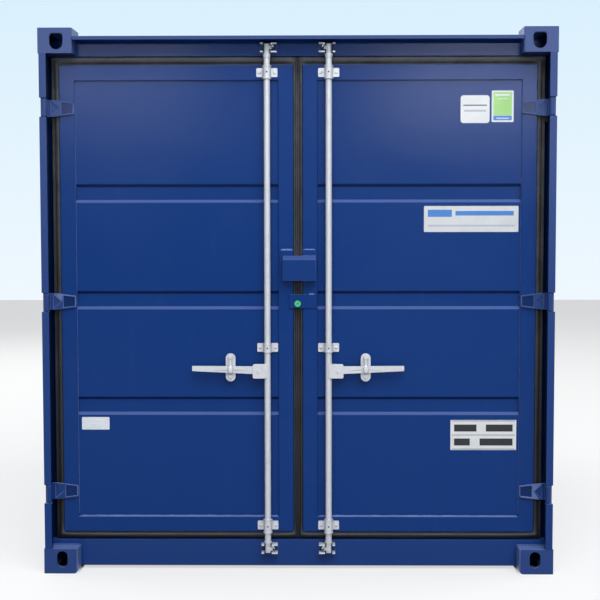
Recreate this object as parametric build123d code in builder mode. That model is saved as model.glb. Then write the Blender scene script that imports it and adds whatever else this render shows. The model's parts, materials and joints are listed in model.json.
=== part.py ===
from build123d import *
import os

# A ten foot steel storage container with a pair of doors in one end.
#
# Millimetres. +X is to the right of someone who faces the doors, +Y runs into the container and
# +Z is up. The origin is on the ground, at the middle of the footprint. A depth is counted from
# the front plane, which holds the front faces of the corner castings, into the container. A
# height is counted from the ground. An offset is counted from the middle plane, to either side.

# Overall size
length = 2991.0
width = 2438.0
height = 2591.0

# Corner castings
casting_width = 162.0
casting_length = 178.0
casting_height = 118.0
casting_wall = 14.0
slot_plate = 28.5
closing_plate = 9.0
slot_length = 124.0
slot_width = 63.5
slot_side_inset = 89.5
slot_end_inset = 102.0
end_hole_inset = 88.0
oval_width = 51.0
oval_height = 79.0
oval_rise = 69.0
shield_width = 64.0
shield_height = 76.0
shield_rise = 55.0
shield_corner = 8.0
side_hole_length = 101.5
side_hole_height = 66.0
side_hole_rise = 68.0
casting_edge = 5.0
casting_foot_corner = 20.0

# Frame of the box
skin_inset = 5.5
plate = 6.0
sheet = 2.0
rail_inset = 10.0
rail_width = 60.0
tube_wall = 4.0
rail_low = 16.0
floor_seat = 142.0
floor_thickness = 28.0
roof_drop = 39.0
door_stop_depth = 150.0
end_face_depth = 94.0
lip_height = 18.0
stop_reach = 27.0
stop_inset = 10.5
sill_shelf = 200.0

# Front posts, with notches for the hinges
post_strip = 33.5
post_tube_depth = 34.0
post_flange = 40.0
rear_post_width = 44.5
hinge_low = 384.0
hinge_high_drop = 369.0
notch_height = 90.0
lug_height = 12.0

# Hinges
pin_inset = 21.5
pin_depth = 13.0
pin_radius = 7.0
pin_end_gap = 1.0
barrel_radius = 12.0
barrel_height = 79.0
leaf_thickness = 8.0
leaf_tip_inset = 65.5
leaf_tip_height = 56.0
leaf_rib = 6.0
leaf_rib_rise = 5.0
leaf_pad_lap = 9.5
leaf_back_reach = 24.0

# Corrugated walls, roof and floor
wall_inset = 16.0
wall_depth = 30.0
wall_pitch = 288.0
wall_crest = 110.0
wall_slope = 34.0
rear_wall_inset = 10.0
swage_pitch = 418.0
swage_width = 150.0
swage_height = 18.0
swage_taper = 45.0
swage_margin = 60.0
roof_seat_depth = 100.0
beam_pitch = 270.0
beam_width = 45.0
beam_wall = 4.0
beam_drop = 22.0
pocket_width = 352.0
pocket_height = 115.0
pocket_wall = 5.0
pocket_spacing = 900.0

# Doors
door_depth = 88.0
door_thickness = 50.0
door_side_inset = 78.0
door_inner = 22.75
door_low = 185.0
door_head = 165.0
stile_outer = 71.7
stile_inner = 70.25
rail_height = 72.0
frame_wall = 3.0
panel_recess = 11.0
groove_depth = 13.0
groove_slope = 14.0
groove_width = 89.0
groove_low_inset = 539.5
groove_high_inset = 534.5
gasket_side = 27.0
gasket_middle = 19.5
gasket_end = 36.0
gasket_depth = 30.0
gasket_setback = 12.0
gasket_lip_width = 10.0
gasket_lip_rise = 6.0

# Locking bars, guides, cams and keepers
bar_offset = 146.5
bar_depth = 64.0
bar_radius = 15.0
bar_wall = 3.5
bar_overrun_low = 40.0
bar_overrun_high = 39.0
guide_low_inset = 32.5
guide_middle = 1080.0
guide_high_inset = 37.0
guide_sleeves = (68.0, 42.0, 64.0)
guide_length = 100.0
guide_height = 42.0
guide_plate = 8.0
guide_wall = 5.0
collar_radius = 18.0
collar_height = 10.0
neck_radius = 13.0
neck_groove_width = 5.0
neck_groove_depth = 5.0
neck_length = 47.0
lobe_reach = 16.0
lobe_set = 2.0
lobe_radius = 8.0
lobe_thickness = 16.0
lobe_rise = 21.0
keeper_gap = 5.0
keeper_short = 31.0
keeper_long = 47.0
keeper_plate = 7.0
keeper_slot = 18.0
keeper_front = 46.0
keeper_back_plate = 6.0
keeper_height = 46.0
prong_depth = 7.0
prong_drop = 15.0
prong_root = 9.0
prong_lean = 12.0
prong_tip = 5.0

# Handles and the catches that hold them
hub_height_above_ground = 969.0
hub_size = 68.0
hub_reach = 70.5
hub_front = 46.0
hub_back = 68.0
hub_corner = 8.0
hub_mouth_gap = 3.0
handle_play = 1.0
rivet_offset = 190.0
rivet_radius = 6.0
rivet_head = 9.0
rivet_head_height = 3.0
handle_front = 52.0
handle_thickness = 10.0
handle_eye = 17.0
handle_root_height = 38.0
handle_root_rise = 5.0
handle_tip_height = 25.0
handle_tip_rise = 13.5
handle_tip_offset = 507.0
dent_reach = 78.0
dent_height = 8.0
dent_rise = 3.5
dent_depth = 4.0
catch_offset = 323.7
catch_pivot_rise = 69.0
catch_post_spacing = 101.0
catch_width = 26.0
catch_length = 93.0
catch_front = 41.0
catch_thickness = 5.0
catch_boss = 9.0
knob_rise = 26.0
knob_radius = 9.0
knob_height = 4.0
post_radius = 9.0
peg_drop = 94.0
peg_length = 15.0
rest_width = 47.0
rest_length = 135.0
rest_overhang = 16.0
rest_front = 67.0
rest_thickness = 5.0
foot_width = 40.0
foot_margin = 12.5
foot_corner = 6.0
foot_thickness = 4.0

# Lock box, lock bracket and overlap plate
box_left = -72.0
box_right = 85.5
lock_gap = 63.0
box_edge_rise = 100.0
box_top_rise = 119.0
box_front = 40.0
box_back = 77.0
box_wall = 4.0
bracket_outer = 87.0
bracket_drop = 3.0
bracket_height = 149.0
bracket_thickness = 6.0
lug_offset = 35.0
lug_spacing = 21.0
lug_thickness = 6.0
lug_rise = 12.0
lug_length = 75.0
lug_front = 52.0
lug_hole = 7.0
overlap_left = -42.0
overlap_step = 32.0
overlap_below = 22.0
overlap_above = 45.5
overlap_front = 79.0
overlap_thickness = 4.0
overlap_base = 6.0
plug_x = -2.0
plug_height_above_ground = 1291.5
plug_radius = 16.5
plug_rise = 4.0

# Clearances
seat_gap = 0.3
running_fit = 0.08
door_clearance = 5.0

# Places that follow from the sizes above
front = -length / 2
roof_line = height - roof_drop
casting_inner = width / 2 - casting_width
wall_end = length / 2 - casting_length
post_face = width / 2 - skin_inset
rail_face = width / 2 - rail_inset
post_top = height - casting_height
rear_face = length / 2 - skin_inset
rear_post_inner = post_face - rear_post_width
floor_top = floor_seat + floor_thickness
stop_back = door_stop_depth + plate
field_depth = door_depth + panel_recess
hinge_high = height - hinge_high_drop
hinge_heights = (hinge_low, (hinge_low + hinge_high) / 2, hinge_high)
pin_offset = post_face - pin_inset
door_outer = post_face - door_side_inset
door_high = height - door_head
stop_half_width = door_outer - stop_inset
leaf_tip_offset = door_outer - leaf_tip_inset
panel_outer = door_outer - stile_outer
panel_inner = door_inner + stile_inner
header_low = door_high + gasket_end + door_clearance
leaf_depth = door_depth - leaf_thickness
groove_low = door_low + rail_height + groove_low_inset
groove_high = door_high - rail_height - groove_high_inset
groove_heights = (groove_low, (groove_low + groove_high) / 2, groove_high)
bar_low = door_low - bar_overrun_low
bar_high = door_high + bar_overrun_high
guide_heights = (door_low + guide_low_inset, guide_middle, door_high - guide_high_inset)
catch_pivot_height = hub_height_above_ground + catch_pivot_rise
catch_lower_height = catch_pivot_height - catch_post_spacing
overlap_low = plug_height_above_ground - overlap_below
overlap_high = plug_height_above_ground + overlap_above
bracket_low = overlap_high + lock_gap
bracket_high = bracket_low + bracket_height
box_low = bracket_low + bracket_drop
box_edge = box_low + box_edge_rise
box_top = box_low + box_top_rise
lug_low = box_low + lug_rise
lug_high = lug_low + lug_length

os.makedirs("parts", exist_ok=True)


def save(builder, name):
    """Label a finished piece and write it to its own STEP file."""
    builder.part.label = name
    export_step(builder.part, f"parts/{name}.step")


def at_depth(depth):
    """The upright plane at a depth, seen from the front: sketches there are in X and Z."""
    return Plane.XZ.offset(-(front + depth))


def block(x_range, depth_range, z_range, mode=Mode.ADD):
    """A box between two X values, two depths and two heights."""
    x_low, x_high = sorted(x_range)
    near, far = depth_range
    low, high = z_range
    middle = ((x_low + x_high) / 2, front + (near + far) / 2, (low + high) / 2)
    with Locations(middle):
        Box(x_high - x_low, far - near, high - low, mode=mode)


def rod(x, height_above_ground, depth_range, radius, mode=Mode.ADD):
    """A round rod that points along the container, between two depths."""
    near, far = depth_range
    with Locations(Location((x, front + (near + far) / 2, height_above_ground), (90, 0, 0))):
        Cylinder(radius, far - near, mode=mode)


def upright(x, depth, z_range, radius, mode=Mode.ADD):
    """An upright round rod between two heights."""
    low, high = z_range
    with Locations((x, front + depth, (low + high) / 2)):
        Cylinder(radius, high - low, mode=mode)


def sheet_section(plane, points, thickness, side):
    """A folded sheet seen end on: a line of points, thickened to one side."""
    with BuildSketch(plane) as section:
        with BuildLine():
            Polyline(*points)
            offset(amount=thickness, side=side, kind=Kind.INTERSECTION)
        make_face()
    return section.sketch


def wave(start, end, level, depth):
    """Points of a corrugated sheet from start to end, that steps from level by depth."""
    count = round((end - start) / wall_pitch)
    pitch = (end - start) / count
    points = [(start, level)]
    for step in range(count):
        place = start + step * pitch
        points.append((place + wall_crest / 2, level))
        points.append((place + wall_crest / 2 + wall_slope, level + depth))
        points.append((place + pitch - wall_crest / 2 - wall_slope, level + depth))
        points.append((place + pitch - wall_crest / 2, level))
    points.append((end, level))
    return points


def corner_casting(x_side, y_side, is_top):
    """A hollow corner casting with a slot, an end hole and a side hole."""
    low = height - casting_height if is_top else 0.0
    middle_x = x_side * (width - casting_width) / 2
    middle_y = y_side * (length - casting_length) / 2
    slot_level = height if is_top else 0.0
    cavity_low = low + (closing_plate if is_top else slot_plate)
    end_rise = shield_rise if is_top else oval_rise
    with BuildPart() as casting:
        with BuildSketch(Plane.XY.offset(low)):
            with Locations((middle_x, middle_y)):
                Rectangle(casting_width, casting_length)
        extrude(amount=casting_height)
        chamfer(casting.edges().filter_by(Axis.Z), length=casting_edge)
        if not is_top:
            along = casting.edges().filter_by(Axis.Y).group_by(Axis.Z)[0]
            fillet(along.sort_by(Axis.X)[0 if x_side > 0 else -1], radius=casting_foot_corner)
        with BuildSketch(Plane.XY.offset(cavity_low)):
            with Locations((middle_x, middle_y)):
                Rectangle(casting_width - 2 * casting_wall, casting_length - 2 * casting_wall)
        extrude(amount=casting_height - slot_plate - closing_plate, mode=Mode.SUBTRACT)
        with BuildSketch(Plane.XY.offset(slot_level)):
            slot_x = x_side * (width / 2 - slot_side_inset)
            slot_y = y_side * (length / 2 - slot_end_inset)
            with Locations((slot_x, slot_y)):
                SlotOverall(slot_length, slot_width, rotation=90)
        extrude(amount=-slot_plate if is_top else slot_plate, mode=Mode.SUBTRACT)
        end_centre = (x_side * (width / 2 - end_hole_inset), y_side * length / 2, low + end_rise)
        with BuildSketch(Plane(end_centre, x_dir=(-y_side, 0, 0), z_dir=(0, y_side, 0))) as hole:
            if is_top:
                round_centre = shield_width / 2 - shield_height / 2
                flat_height = shield_height - shield_width / 2
                with Locations((0, round_centre + flat_height / 2)):
                    Rectangle(shield_width, flat_height)
                fillet(hole.vertices().group_by(Axis.Y)[-1], radius=shield_corner)
                with Locations((0, round_centre)):
                    Circle(shield_width / 2)
            else:
                SlotOverall(oval_height, oval_width, rotation=90)
        extrude(amount=-casting_wall, mode=Mode.SUBTRACT)
        side_level = low + (casting_height - side_hole_rise if is_top else side_hole_rise)
        side_centre = (x_side * width / 2, y_side * (length / 2 - slot_end_inset), side_level)
        with BuildSketch(Plane(side_centre, x_dir=(0, x_side, 0), z_dir=(x_side, 0, 0))):
            SlotOverall(side_hole_length, side_hole_height)
        extrude(amount=-casting_wall, mode=Mode.SUBTRACT)
    return casting.part


def corner_castings(name, is_top):
    """The four castings of one level."""
    with BuildPart() as castings:
        for x_side in (-1, 1):
            for y_side in (-1, 1):
                add(corner_casting(x_side, y_side, is_top))
    save(castings, name)


def front_post(side, name):
    """A front post: a tube along its front edge, a web, the door stop and a rear flange."""
    face = side * post_face
    web_x = side * (post_face - plate)
    strip_x = side * (post_face - post_strip)
    run = (casting_height, post_top)
    with BuildPart() as post:
        block((face, strip_x), (0, post_tube_depth), run)
        inner = (side * (post_face - plate), side * (post_face - post_strip + plate))
        block(inner, (plate, post_tube_depth - plate), run, mode=Mode.SUBTRACT)
        block((face, web_x), (post_tube_depth, casting_length), run)
        block((web_x, side * stop_half_width), (door_stop_depth, stop_back), run)
        flange_x = side * (post_face - post_flange)
        block((web_x, flange_x), (casting_length - plate, casting_length), run)
        for middle in hinge_heights:
            low = middle - notch_height / 2
            high = middle + notch_height / 2
            block((face, strip_x), (0, post_tube_depth), (low - lug_height, high + lug_height))
            block((face, strip_x), (0, post_tube_depth), (low, high), mode=Mode.SUBTRACT)
            hole = (low - lug_height, high + lug_height)
            upright(side * pin_offset, pin_depth, hole, pin_radius + running_fit, Mode.SUBTRACT)
    save(post, name)


def hinge_pins():
    """Six hinge pins, each held in the lugs above and below its notch."""
    reach = notch_height / 2 + lug_height - pin_end_gap
    with BuildPart() as pins:
        for side in (-1, 1):
            for middle in hinge_heights:
                upright(side * pin_offset, pin_depth, (middle - reach, middle + reach), pin_radius)
    save(pins, "hinge_pins")


def door_header():
    """The header over the doors: a boxed beam, a front lip and the stop behind the doors."""
    span = (-casting_inner, casting_inner)
    wide = (-post_face + plate, post_face - plate)
    stop = (-stop_half_width, stop_half_width)
    with BuildPart() as header:
        block(span, (0, stop_back), (roof_line - plate, roof_line))
        block(span, (0, plate), (roof_line - lip_height, roof_line))
        block(span, (end_face_depth, end_face_depth + plate), (header_low, roof_line))
        block(wide, (end_face_depth, door_stop_depth), (header_low, post_top))
        block(span, (door_stop_depth, stop_back), (header_low - stop_reach, roof_line))
        block(stop, (door_stop_depth, stop_back), (header_low - stop_reach, post_top))
    save(header, "door_header")


def door_sill():
    """The sill under the doors: a channel, an upstand behind them and a shelf for the floor."""
    span = (-casting_inner, casting_inner)
    wide = (-post_face + plate, post_face - plate)
    stop = (-stop_half_width, stop_half_width)
    face = (end_face_depth, end_face_depth + plate)
    with BuildPart() as sill:
        block(span, face, (rail_low, floor_seat))
        block(wide, face, (casting_height, floor_seat))
        block(wide, (end_face_depth, door_stop_depth), (floor_seat - plate, floor_seat))
        block(stop, (door_stop_depth, sill_shelf), (floor_seat - plate, floor_seat))
        block(stop, (door_stop_depth, stop_back), (floor_seat, floor_top))
        block(span, (end_face_depth, stop_back), (rail_low, rail_low + plate))
    save(sill, "door_sill")


def rear_posts():
    """Two closed posts at the rear corners."""
    near = wall_end - front
    far = rear_face - front
    run = (casting_height, post_top)
    with BuildPart() as posts:
        for side in (-1, 1):
            block((side * post_face, side * rear_post_inner), (near, far), run)
            hollow = (side * (post_face - tube_wall), side * (rear_post_inner + tube_wall))
            block(hollow, (near + tube_wall, far - tube_wall), run, mode=Mode.SUBTRACT)
    save(posts, "rear_posts")


def rear_top_rail():
    """A square tube between the rear castings."""
    far = rear_face - front
    span = (-casting_inner, casting_inner)
    with BuildPart() as rail:
        block(span, (far - rail_width, far), (post_top, roof_line))
        hollow = (far - rail_width + tube_wall, far - tube_wall)
        block(span, hollow, (post_top + tube_wall, roof_line - tube_wall), mode=Mode.SUBTRACT)
    save(rail, "rear_top_rail")


def rear_bottom_rail():
    """A channel between the rear castings, with its top flange run on over them."""
    far = rear_face - front
    span = (-casting_inner, casting_inner)
    wide = (-rear_post_inner, rear_post_inner)
    with BuildPart() as rail:
        block(span, (far - plate, far), (rail_low, floor_seat))
        block(wide, (far - plate, far), (casting_height, floor_seat))
        block(wide, (far - rail_width, far), (floor_seat - plate, floor_seat))
        block(span, (far - rail_width, far), (rail_low, rail_low + plate))
    save(rail, "rear_bottom_rail")


def top_side_rails():
    """A square tube along the top of each side."""
    run = (casting_length, length - casting_length)
    with BuildPart() as rails:
        for side in (-1, 1):
            block((side * rail_face, side * (rail_face - rail_width)), run, (post_top, roof_line))
            hollow = (side * (rail_face - tube_wall), side * (rail_face - rail_width + tube_wall))
            inside = (post_top + tube_wall, roof_line - tube_wall)
            block(hollow, run, inside, mode=Mode.SUBTRACT)
    save(rails, "top_side_rails")


def pocket_span(sign):
    """The depths between which one fork pocket lies."""
    middle = length / 2 + sign * pocket_spacing / 2
    return middle - pocket_width / 2, middle + pocket_width / 2


def bottom_side_rails():
    """A channel along the foot of each side, cut through for the fork pockets."""
    run = (casting_length, length - casting_length)
    pocket_low = floor_seat - pocket_wall - pocket_height
    with BuildPart() as rails:
        for side in (-1, 1):
            face = side * rail_face
            web = side * (rail_face - plate)
            tip = side * (rail_face - rail_width)
            block((face, web), run, (rail_low, floor_seat))
            block((web, tip), run, (floor_seat - plate, floor_seat))
            block((web, tip), run, (rail_low, rail_low + plate))
            for sign in (-1, 1):
                near, far = pocket_span(sign)
                mouth = (pocket_low, pocket_low + pocket_height)
                block((face, web), (near, far), mouth, mode=Mode.SUBTRACT)
                sleeve = (near - pocket_wall, far + pocket_wall)
                block((web, tip), sleeve, (rail_low, floor_seat), mode=Mode.SUBTRACT)
    save(rails, "bottom_side_rails")


def fork_pockets():
    """Two fork pockets, square tunnels from side to side."""
    reach = rail_face - plate
    high = floor_seat
    low = high - pocket_height - 2 * pocket_wall
    with BuildPart() as pockets:
        for sign in (-1, 1):
            near, far = pocket_span(sign)
            block((-reach, reach), (near - pocket_wall, far + pocket_wall), (low, high))
            inside = (low + pocket_wall, high - pocket_wall)
            block((-reach, reach), (near, far), inside, mode=Mode.SUBTRACT)
    save(pockets, "fork_pockets")


def cross_members():
    """Channels from side rail to side rail under the floor, clear of the fork pockets."""
    reach = rail_face - rail_width
    end_span = 2 * (wall_end - beam_width)
    pairs = int((end_span / 2 - beam_pitch / 2) / beam_pitch) + 1
    pocket_edge = pocket_width / 2 + pocket_wall + beam_width / 2
    places = GridLocations(1, beam_pitch, 1, 2 * pairs).local_locations
    with BuildPart() as beams:
        for place in places:
            from_middle = place.position.Y
            if abs(abs(from_middle) - pocket_spacing / 2) < pocket_edge:
                continue
            middle = length / 2 + from_middle
            depths = (middle - beam_width / 2, middle + beam_width / 2)
            block((-reach, reach), depths, (beam_drop, floor_seat))
            hollow = (middle - beam_width / 2 + beam_wall, middle + beam_width / 2)
            inside = (beam_drop + beam_wall, floor_seat - beam_wall)
            block((-reach, reach), hollow, inside, mode=Mode.SUBTRACT)
    save(beams, "cross_members")


def side_wall(side, name):
    """One corrugated side wall, between the posts and the rails."""
    outer = side * (width / 2 - wall_inset)
    points = [(x, y) for y, x in wave(-wall_end, wall_end, outer, -side * wall_depth)]
    offset_side = Side.LEFT if side > 0 else Side.RIGHT
    section = sheet_section(Plane.XY.offset(floor_seat), points, sheet, offset_side)
    with BuildPart() as wall:
        extrude(section, amount=post_top - floor_seat)
    save(wall, name)


def rear_wall():
    """The corrugated rear wall, between the rear posts and rails."""
    outer = length / 2 - rear_wall_inset
    points = wave(-rear_post_inner, rear_post_inner, outer, -wall_depth)
    section = sheet_section(Plane.XY.offset(floor_seat), points, sheet, Side.RIGHT)
    with BuildPart() as wall:
        extrude(section, amount=post_top - floor_seat)
    save(wall, "rear_wall")


def roof_panel():
    """The roof sheet with pressed swages from side to side, notched round the castings."""
    swage_span = 2 * (rail_face - rail_width - swage_margin)
    count = int((2 * wall_end - swage_width) / swage_pitch) + 1
    with BuildPart() as roof:
        with BuildSketch(Plane.XY.offset(roof_line)):
            Rectangle(2 * rail_face, 2 * wall_end)
            near = front + roof_seat_depth
            far = rear_face - plate
            with Locations((0, (near + far) / 2)):
                Rectangle(2 * (casting_inner - seat_gap), far - near)
        extrude(amount=sheet)
        with BuildSketch(Plane.XY.offset(roof_line + sheet)):
            with GridLocations(1, swage_pitch, 1, count):
                Rectangle(swage_span, swage_width)
        extrude(amount=swage_height, taper=swage_taper)
        with BuildSketch(Plane.XY.offset(roof_line)):
            with GridLocations(1, swage_pitch, 1, count):
                Rectangle(swage_span, swage_width)
        extrude(amount=swage_height, taper=swage_taper, mode=Mode.SUBTRACT)
    save(roof, "roof_panel")


def floor_boards():
    """The plywood floor."""
    edge = width / 2 - wall_inset - wall_depth - 2 * sheet - door_clearance
    rear_depth = length - rear_wall_inset - wall_depth - 2 * sheet
    with BuildPart() as boards:
        block((-edge, edge), (stop_back, rear_depth), (floor_seat, floor_top))
    save(boards, "floor")


def cam_keeper(side, is_top):
    """A keeper: two forked plates on a back plate with a window, and a slanted prong."""
    gap = collar_height + keeper_gap
    base = bar_high + gap if is_top else bar_low - gap
    up = 1 if is_top else -1
    axis = side * bar_offset
    inner = axis - side * keeper_long
    outer = axis + side * keeper_short
    slot = (axis - keeper_slot, axis + keeper_slot)
    far = base + up * keeper_height
    back = (end_face_depth - keeper_back_plate, end_face_depth)
    between = sorted((base + up * keeper_plate, far - up * keeper_plate))
    with BuildPart() as keeper:
        block((inner, outer), back, sorted((base, far)))
        block(slot, back, between, mode=Mode.SUBTRACT)
        for level in (base, far - up * keeper_plate):
            band = sorted((level, level + up * keeper_plate))
            block((inner, outer), (keeper_front, end_face_depth), band)
            block(slot, (keeper_front, back[0]), band, mode=Mode.SUBTRACT)
        with BuildSketch(at_depth(keeper_front + prong_depth)):
            root_x = axis - side * keeper_slot
            tip_x = root_x - side * prong_lean
            tip_z = max(between) - prong_drop
            with BuildLine():
                Polyline(
                    (root_x, max(between)),
                    (root_x - side * prong_root, max(between)),
                    (tip_x - side * prong_tip, tip_z),
                    (tip_x, tip_z),
                    close=True,
                )
            make_face()
        extrude(amount=prong_depth)
    return keeper.part


def cam_keepers():
    """The four keepers, two on the header and two on the sill."""
    with BuildPart() as keepers:
        for side in (-1, 1):
            for is_top in (False, True):
                add(cam_keeper(side, is_top))
    save(keepers, "cam_keepers")


def door_frame(side, name):
    """A door's frame of hollow stiles and rails."""
    across = (side * door_inner, side * door_outer)
    window = (side * panel_inner, side * panel_outer)
    upright_run = (door_low, door_high)
    window_run = (door_low + rail_height, door_high - rail_height)
    thick = (door_depth, door_depth + door_thickness)
    hollow = (door_depth + frame_wall, door_depth + door_thickness - frame_wall)
    outer_hollow = (side * (door_inner + frame_wall), side * (door_outer - frame_wall))
    with BuildPart(mode=Mode.PRIVATE) as cavity:
        block(outer_hollow, hollow, (door_low + frame_wall, door_high - frame_wall))
        core = (side * (panel_inner - frame_wall), side * (panel_outer + frame_wall))
        core_run = (window_run[0] - frame_wall, window_run[1] + frame_wall)
        block(core, hollow, core_run, mode=Mode.SUBTRACT)
    with BuildPart() as frame:
        block(across, thick, upright_run)
        block(window, thick, window_run, mode=Mode.SUBTRACT)
        add(cavity.part, mode=Mode.SUBTRACT)
    save(frame, name)


def panel_points():
    """The door panel seen end on, in depth and height, with its three grooves."""
    points = [(front + field_depth, door_low + rail_height)]
    half = groove_width / 2
    for middle in groove_heights:
        points.append((front + field_depth, middle - half))
        points.append((front + field_depth + groove_depth, middle - half + groove_slope))
        points.append((front + field_depth + groove_depth, middle + half - groove_slope))
        points.append((front + field_depth, middle + half))
    points.append((front + field_depth, door_high - rail_height))
    return points


def door_panel(side, name):
    """A door's pressed panel, one profile from stile to stile."""
    low_x = min(side * panel_inner, side * panel_outer)
    section = sheet_section(Plane.YZ.offset(low_x), panel_points(), sheet, Side.RIGHT)
    with BuildPart() as panel:
        extrude(section, amount=panel_outer - panel_inner)
    save(panel, name)


def door_gasket(side, name):
    """The rubber gasket round a door, with a lip along its outer edge."""
    middle_x = side * (door_outer + gasket_side + door_inner - gasket_middle) / 2
    middle_z = (door_low + door_high) / 2
    outer_width = door_outer + gasket_side - door_inner + gasket_middle
    outer_height = door_high - door_low + 2 * gasket_end
    hole_x = side * (door_outer + door_inner) / 2
    hole_width = door_outer - door_inner + 2 * seat_gap
    hole_height = door_high - door_low + 2 * seat_gap
    near = door_depth + gasket_setback
    with BuildPart() as gasket:
        with BuildSketch(at_depth(near + gasket_depth)):
            with Locations((middle_x, middle_z)):
                Rectangle(outer_width, outer_height)
            with Locations((hole_x, middle_z)):
                Rectangle(hole_width, hole_height, mode=Mode.SUBTRACT)
        extrude(amount=gasket_depth)
        with BuildSketch(at_depth(near)):
            with Locations((middle_x, middle_z)):
                Rectangle(outer_width, outer_height)
                inset = 2 * gasket_lip_width
                Rectangle(outer_width - inset, outer_height - inset, mode=Mode.SUBTRACT)
        extrude(amount=gasket_lip_rise)
    save(gasket, name)


def blade_outline(side, middle, half, tip_half, start_x):
    """The tapered outline of a hinge blade, from where its taper starts to its tip."""
    tip_x = side * leaf_tip_offset
    return [
        (start_x, middle + half),
        (tip_x, middle + tip_half),
        (tip_x, middle - tip_half),
        (start_x, middle - half),
    ]


def hinge_leaf(side, middle):
    """A hinge leaf: a barrel, an arm back to the door and a ribbed, tapered blade on its face.

    Where the blade crosses the gasket it carries a pad with a recess in it, a triangle that
    points at the door.
    """
    pin_x = side * pin_offset
    half = barrel_height / 2
    tip_half = leaf_tip_height / 2
    run = (middle - half, middle + half)
    half_arm = leaf_thickness / 2
    taper_x = side * (door_outer + gasket_side)
    pad_x = side * (door_outer - leaf_pad_lap)
    recess_x = pin_x - side * (barrel_radius + leaf_rib)
    with BuildPart() as leaf:
        block((pin_x - half_arm, pin_x + half_arm), (pin_depth, door_depth), run)
        block((pin_x, side * leaf_tip_offset), (leaf_depth, door_depth), run)
        with BuildSketch(at_depth(leaf_depth)):
            with BuildLine():
                Polyline(*blade_outline(side, middle, half, tip_half, taper_x), close=True)
            make_face()
            inner = blade_outline(side, middle, half - leaf_rib, tip_half - leaf_rib, taper_x)
            with BuildLine():
                Polyline(*inner, close=True)
            make_face(mode=Mode.SUBTRACT)
        extrude(amount=leaf_rib_rise)
        pad = (leaf_depth - leaf_rib_rise, leaf_depth)
        block((pin_x, pad_x), pad, run)
        with BuildSketch(at_depth(leaf_depth)):
            with BuildLine():
                Polyline(
                    (recess_x, middle + half - leaf_rib),
                    (side * door_outer, middle),
                    (recess_x, middle - half + leaf_rib),
                    close=True,
                )
            make_face()
        extrude(amount=leaf_rib_rise, mode=Mode.SUBTRACT)
        upright(pin_x, pin_depth, run, barrel_radius)
        with BuildSketch(at_depth(door_depth)):
            back_x = pin_x + side * leaf_back_reach
            outline = blade_outline(side, middle, half, tip_half, taper_x)
            with BuildLine():
                Polyline((back_x, middle + half), *outline, (back_x, middle - half), close=True)
            make_face()
        extrude(amount=door_depth, mode=Mode.INTERSECT)
        upright(pin_x, pin_depth, run, pin_radius + running_fit, mode=Mode.SUBTRACT)
    return leaf.part


def hinge_leaves(side, name):
    """The three hinge leaves of a door."""
    with BuildPart() as leaves:
        for middle in hinge_heights:
            add(hinge_leaf(side, middle))
    save(leaves, name)


def bar_guide(side, middle, sleeve, foot_depth):
    """A bar guide: a foot plate with two ears and a sleeve round the bar."""
    axis = side * bar_offset
    outer = bar_radius + guide_wall
    run = (middle - sleeve / 2, middle + sleeve / 2)
    foot_run = (middle - guide_height / 2, middle + guide_height / 2)
    with BuildPart() as guide:
        ears = (axis - guide_length / 2, axis + guide_length / 2)
        block(ears, (foot_depth - guide_plate, foot_depth), foot_run)
        fillet(guide.edges().filter_by(Axis.Y), radius=guide_wall)
        block((axis - outer, axis + outer), (bar_depth, foot_depth), foot_run)
        upright(axis, bar_depth, run, outer)
        upright(axis, bar_depth, run, bar_radius + running_fit, mode=Mode.SUBTRACT)
    return guide.part


def bar_guides(side, name):
    """The three guides of a locking bar: two on the door's rails and one on its panel."""
    feet = (door_depth, field_depth, door_depth)
    with BuildPart() as guides:
        for middle, sleeve, foot in zip(guide_heights, guide_sleeves, feet):
            add(bar_guide(side, middle, sleeve, foot))
    save(guides, name)


def lock_bar(side, name):
    """A locking bar: a tube with the forked hub that carries the handle."""
    axis = side * bar_offset
    low = hub_height_above_ground - hub_size / 2
    high = hub_height_above_ground + hub_size / 2
    far = side * (bar_offset + hub_reach)
    with BuildPart() as bar:
        block((axis, far), (hub_front, hub_back), (low, high))
        corners = bar.edges().filter_by(Axis.Y).group_by(Axis.X)
        fillet(corners[-1] if side > 0 else corners[0], radius=hub_corner)
        slot = (handle_front - handle_play, handle_front + handle_thickness + handle_play)
        mouth = (side * (bar_offset + bar_radius + hub_mouth_gap), far)
        block(mouth, slot, (low, high), mode=Mode.SUBTRACT)
        rivet = (hub_front - rivet_head_height, hub_back)
        rod(side * rivet_offset, hub_height_above_ground, rivet, rivet_radius)
        head = (hub_front - rivet_head_height, hub_front)
        rod(side * rivet_offset, hub_height_above_ground, head, rivet_head)
        upright(axis, bar_depth, (bar_low, bar_high), bar_radius)
        upright(axis, bar_depth, (bar_low, bar_high), bar_radius - bar_wall, mode=Mode.SUBTRACT)
    save(bar, name)


def cam(side, is_top):
    """The cam on one end of a bar: a collar, a neck and the lobe that turns behind a prong."""
    axis = side * bar_offset
    end = bar_high if is_top else bar_low
    up = 1 if is_top else -1
    collar_end = end + up * collar_height
    lobe_near = collar_end + up * lobe_rise
    lobe_low = min(lobe_near, lobe_near + up * lobe_thickness)
    with BuildPart() as piece:
        upright(axis, bar_depth, sorted((end, collar_end)), collar_radius)
        tip = collar_end + up * neck_length
        upright(axis, bar_depth, sorted((end, tip)), neck_radius)
        groove = (axis - neck_groove_width / 2, axis + neck_groove_width / 2)
        near = bar_depth - neck_radius
        groove_depths = (near, near + neck_groove_depth)
        block(groove, groove_depths, sorted((collar_end, tip)), mode=Mode.SUBTRACT)
        with BuildSketch(Plane.XY.offset(lobe_low)):
            with Locations((axis, front + bar_depth)):
                Circle(neck_radius)
            with Locations((axis - side * lobe_reach, front + bar_depth + lobe_set)):
                Circle(lobe_radius)
            make_hull()
        extrude(amount=lobe_thickness)
    return piece.part


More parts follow.
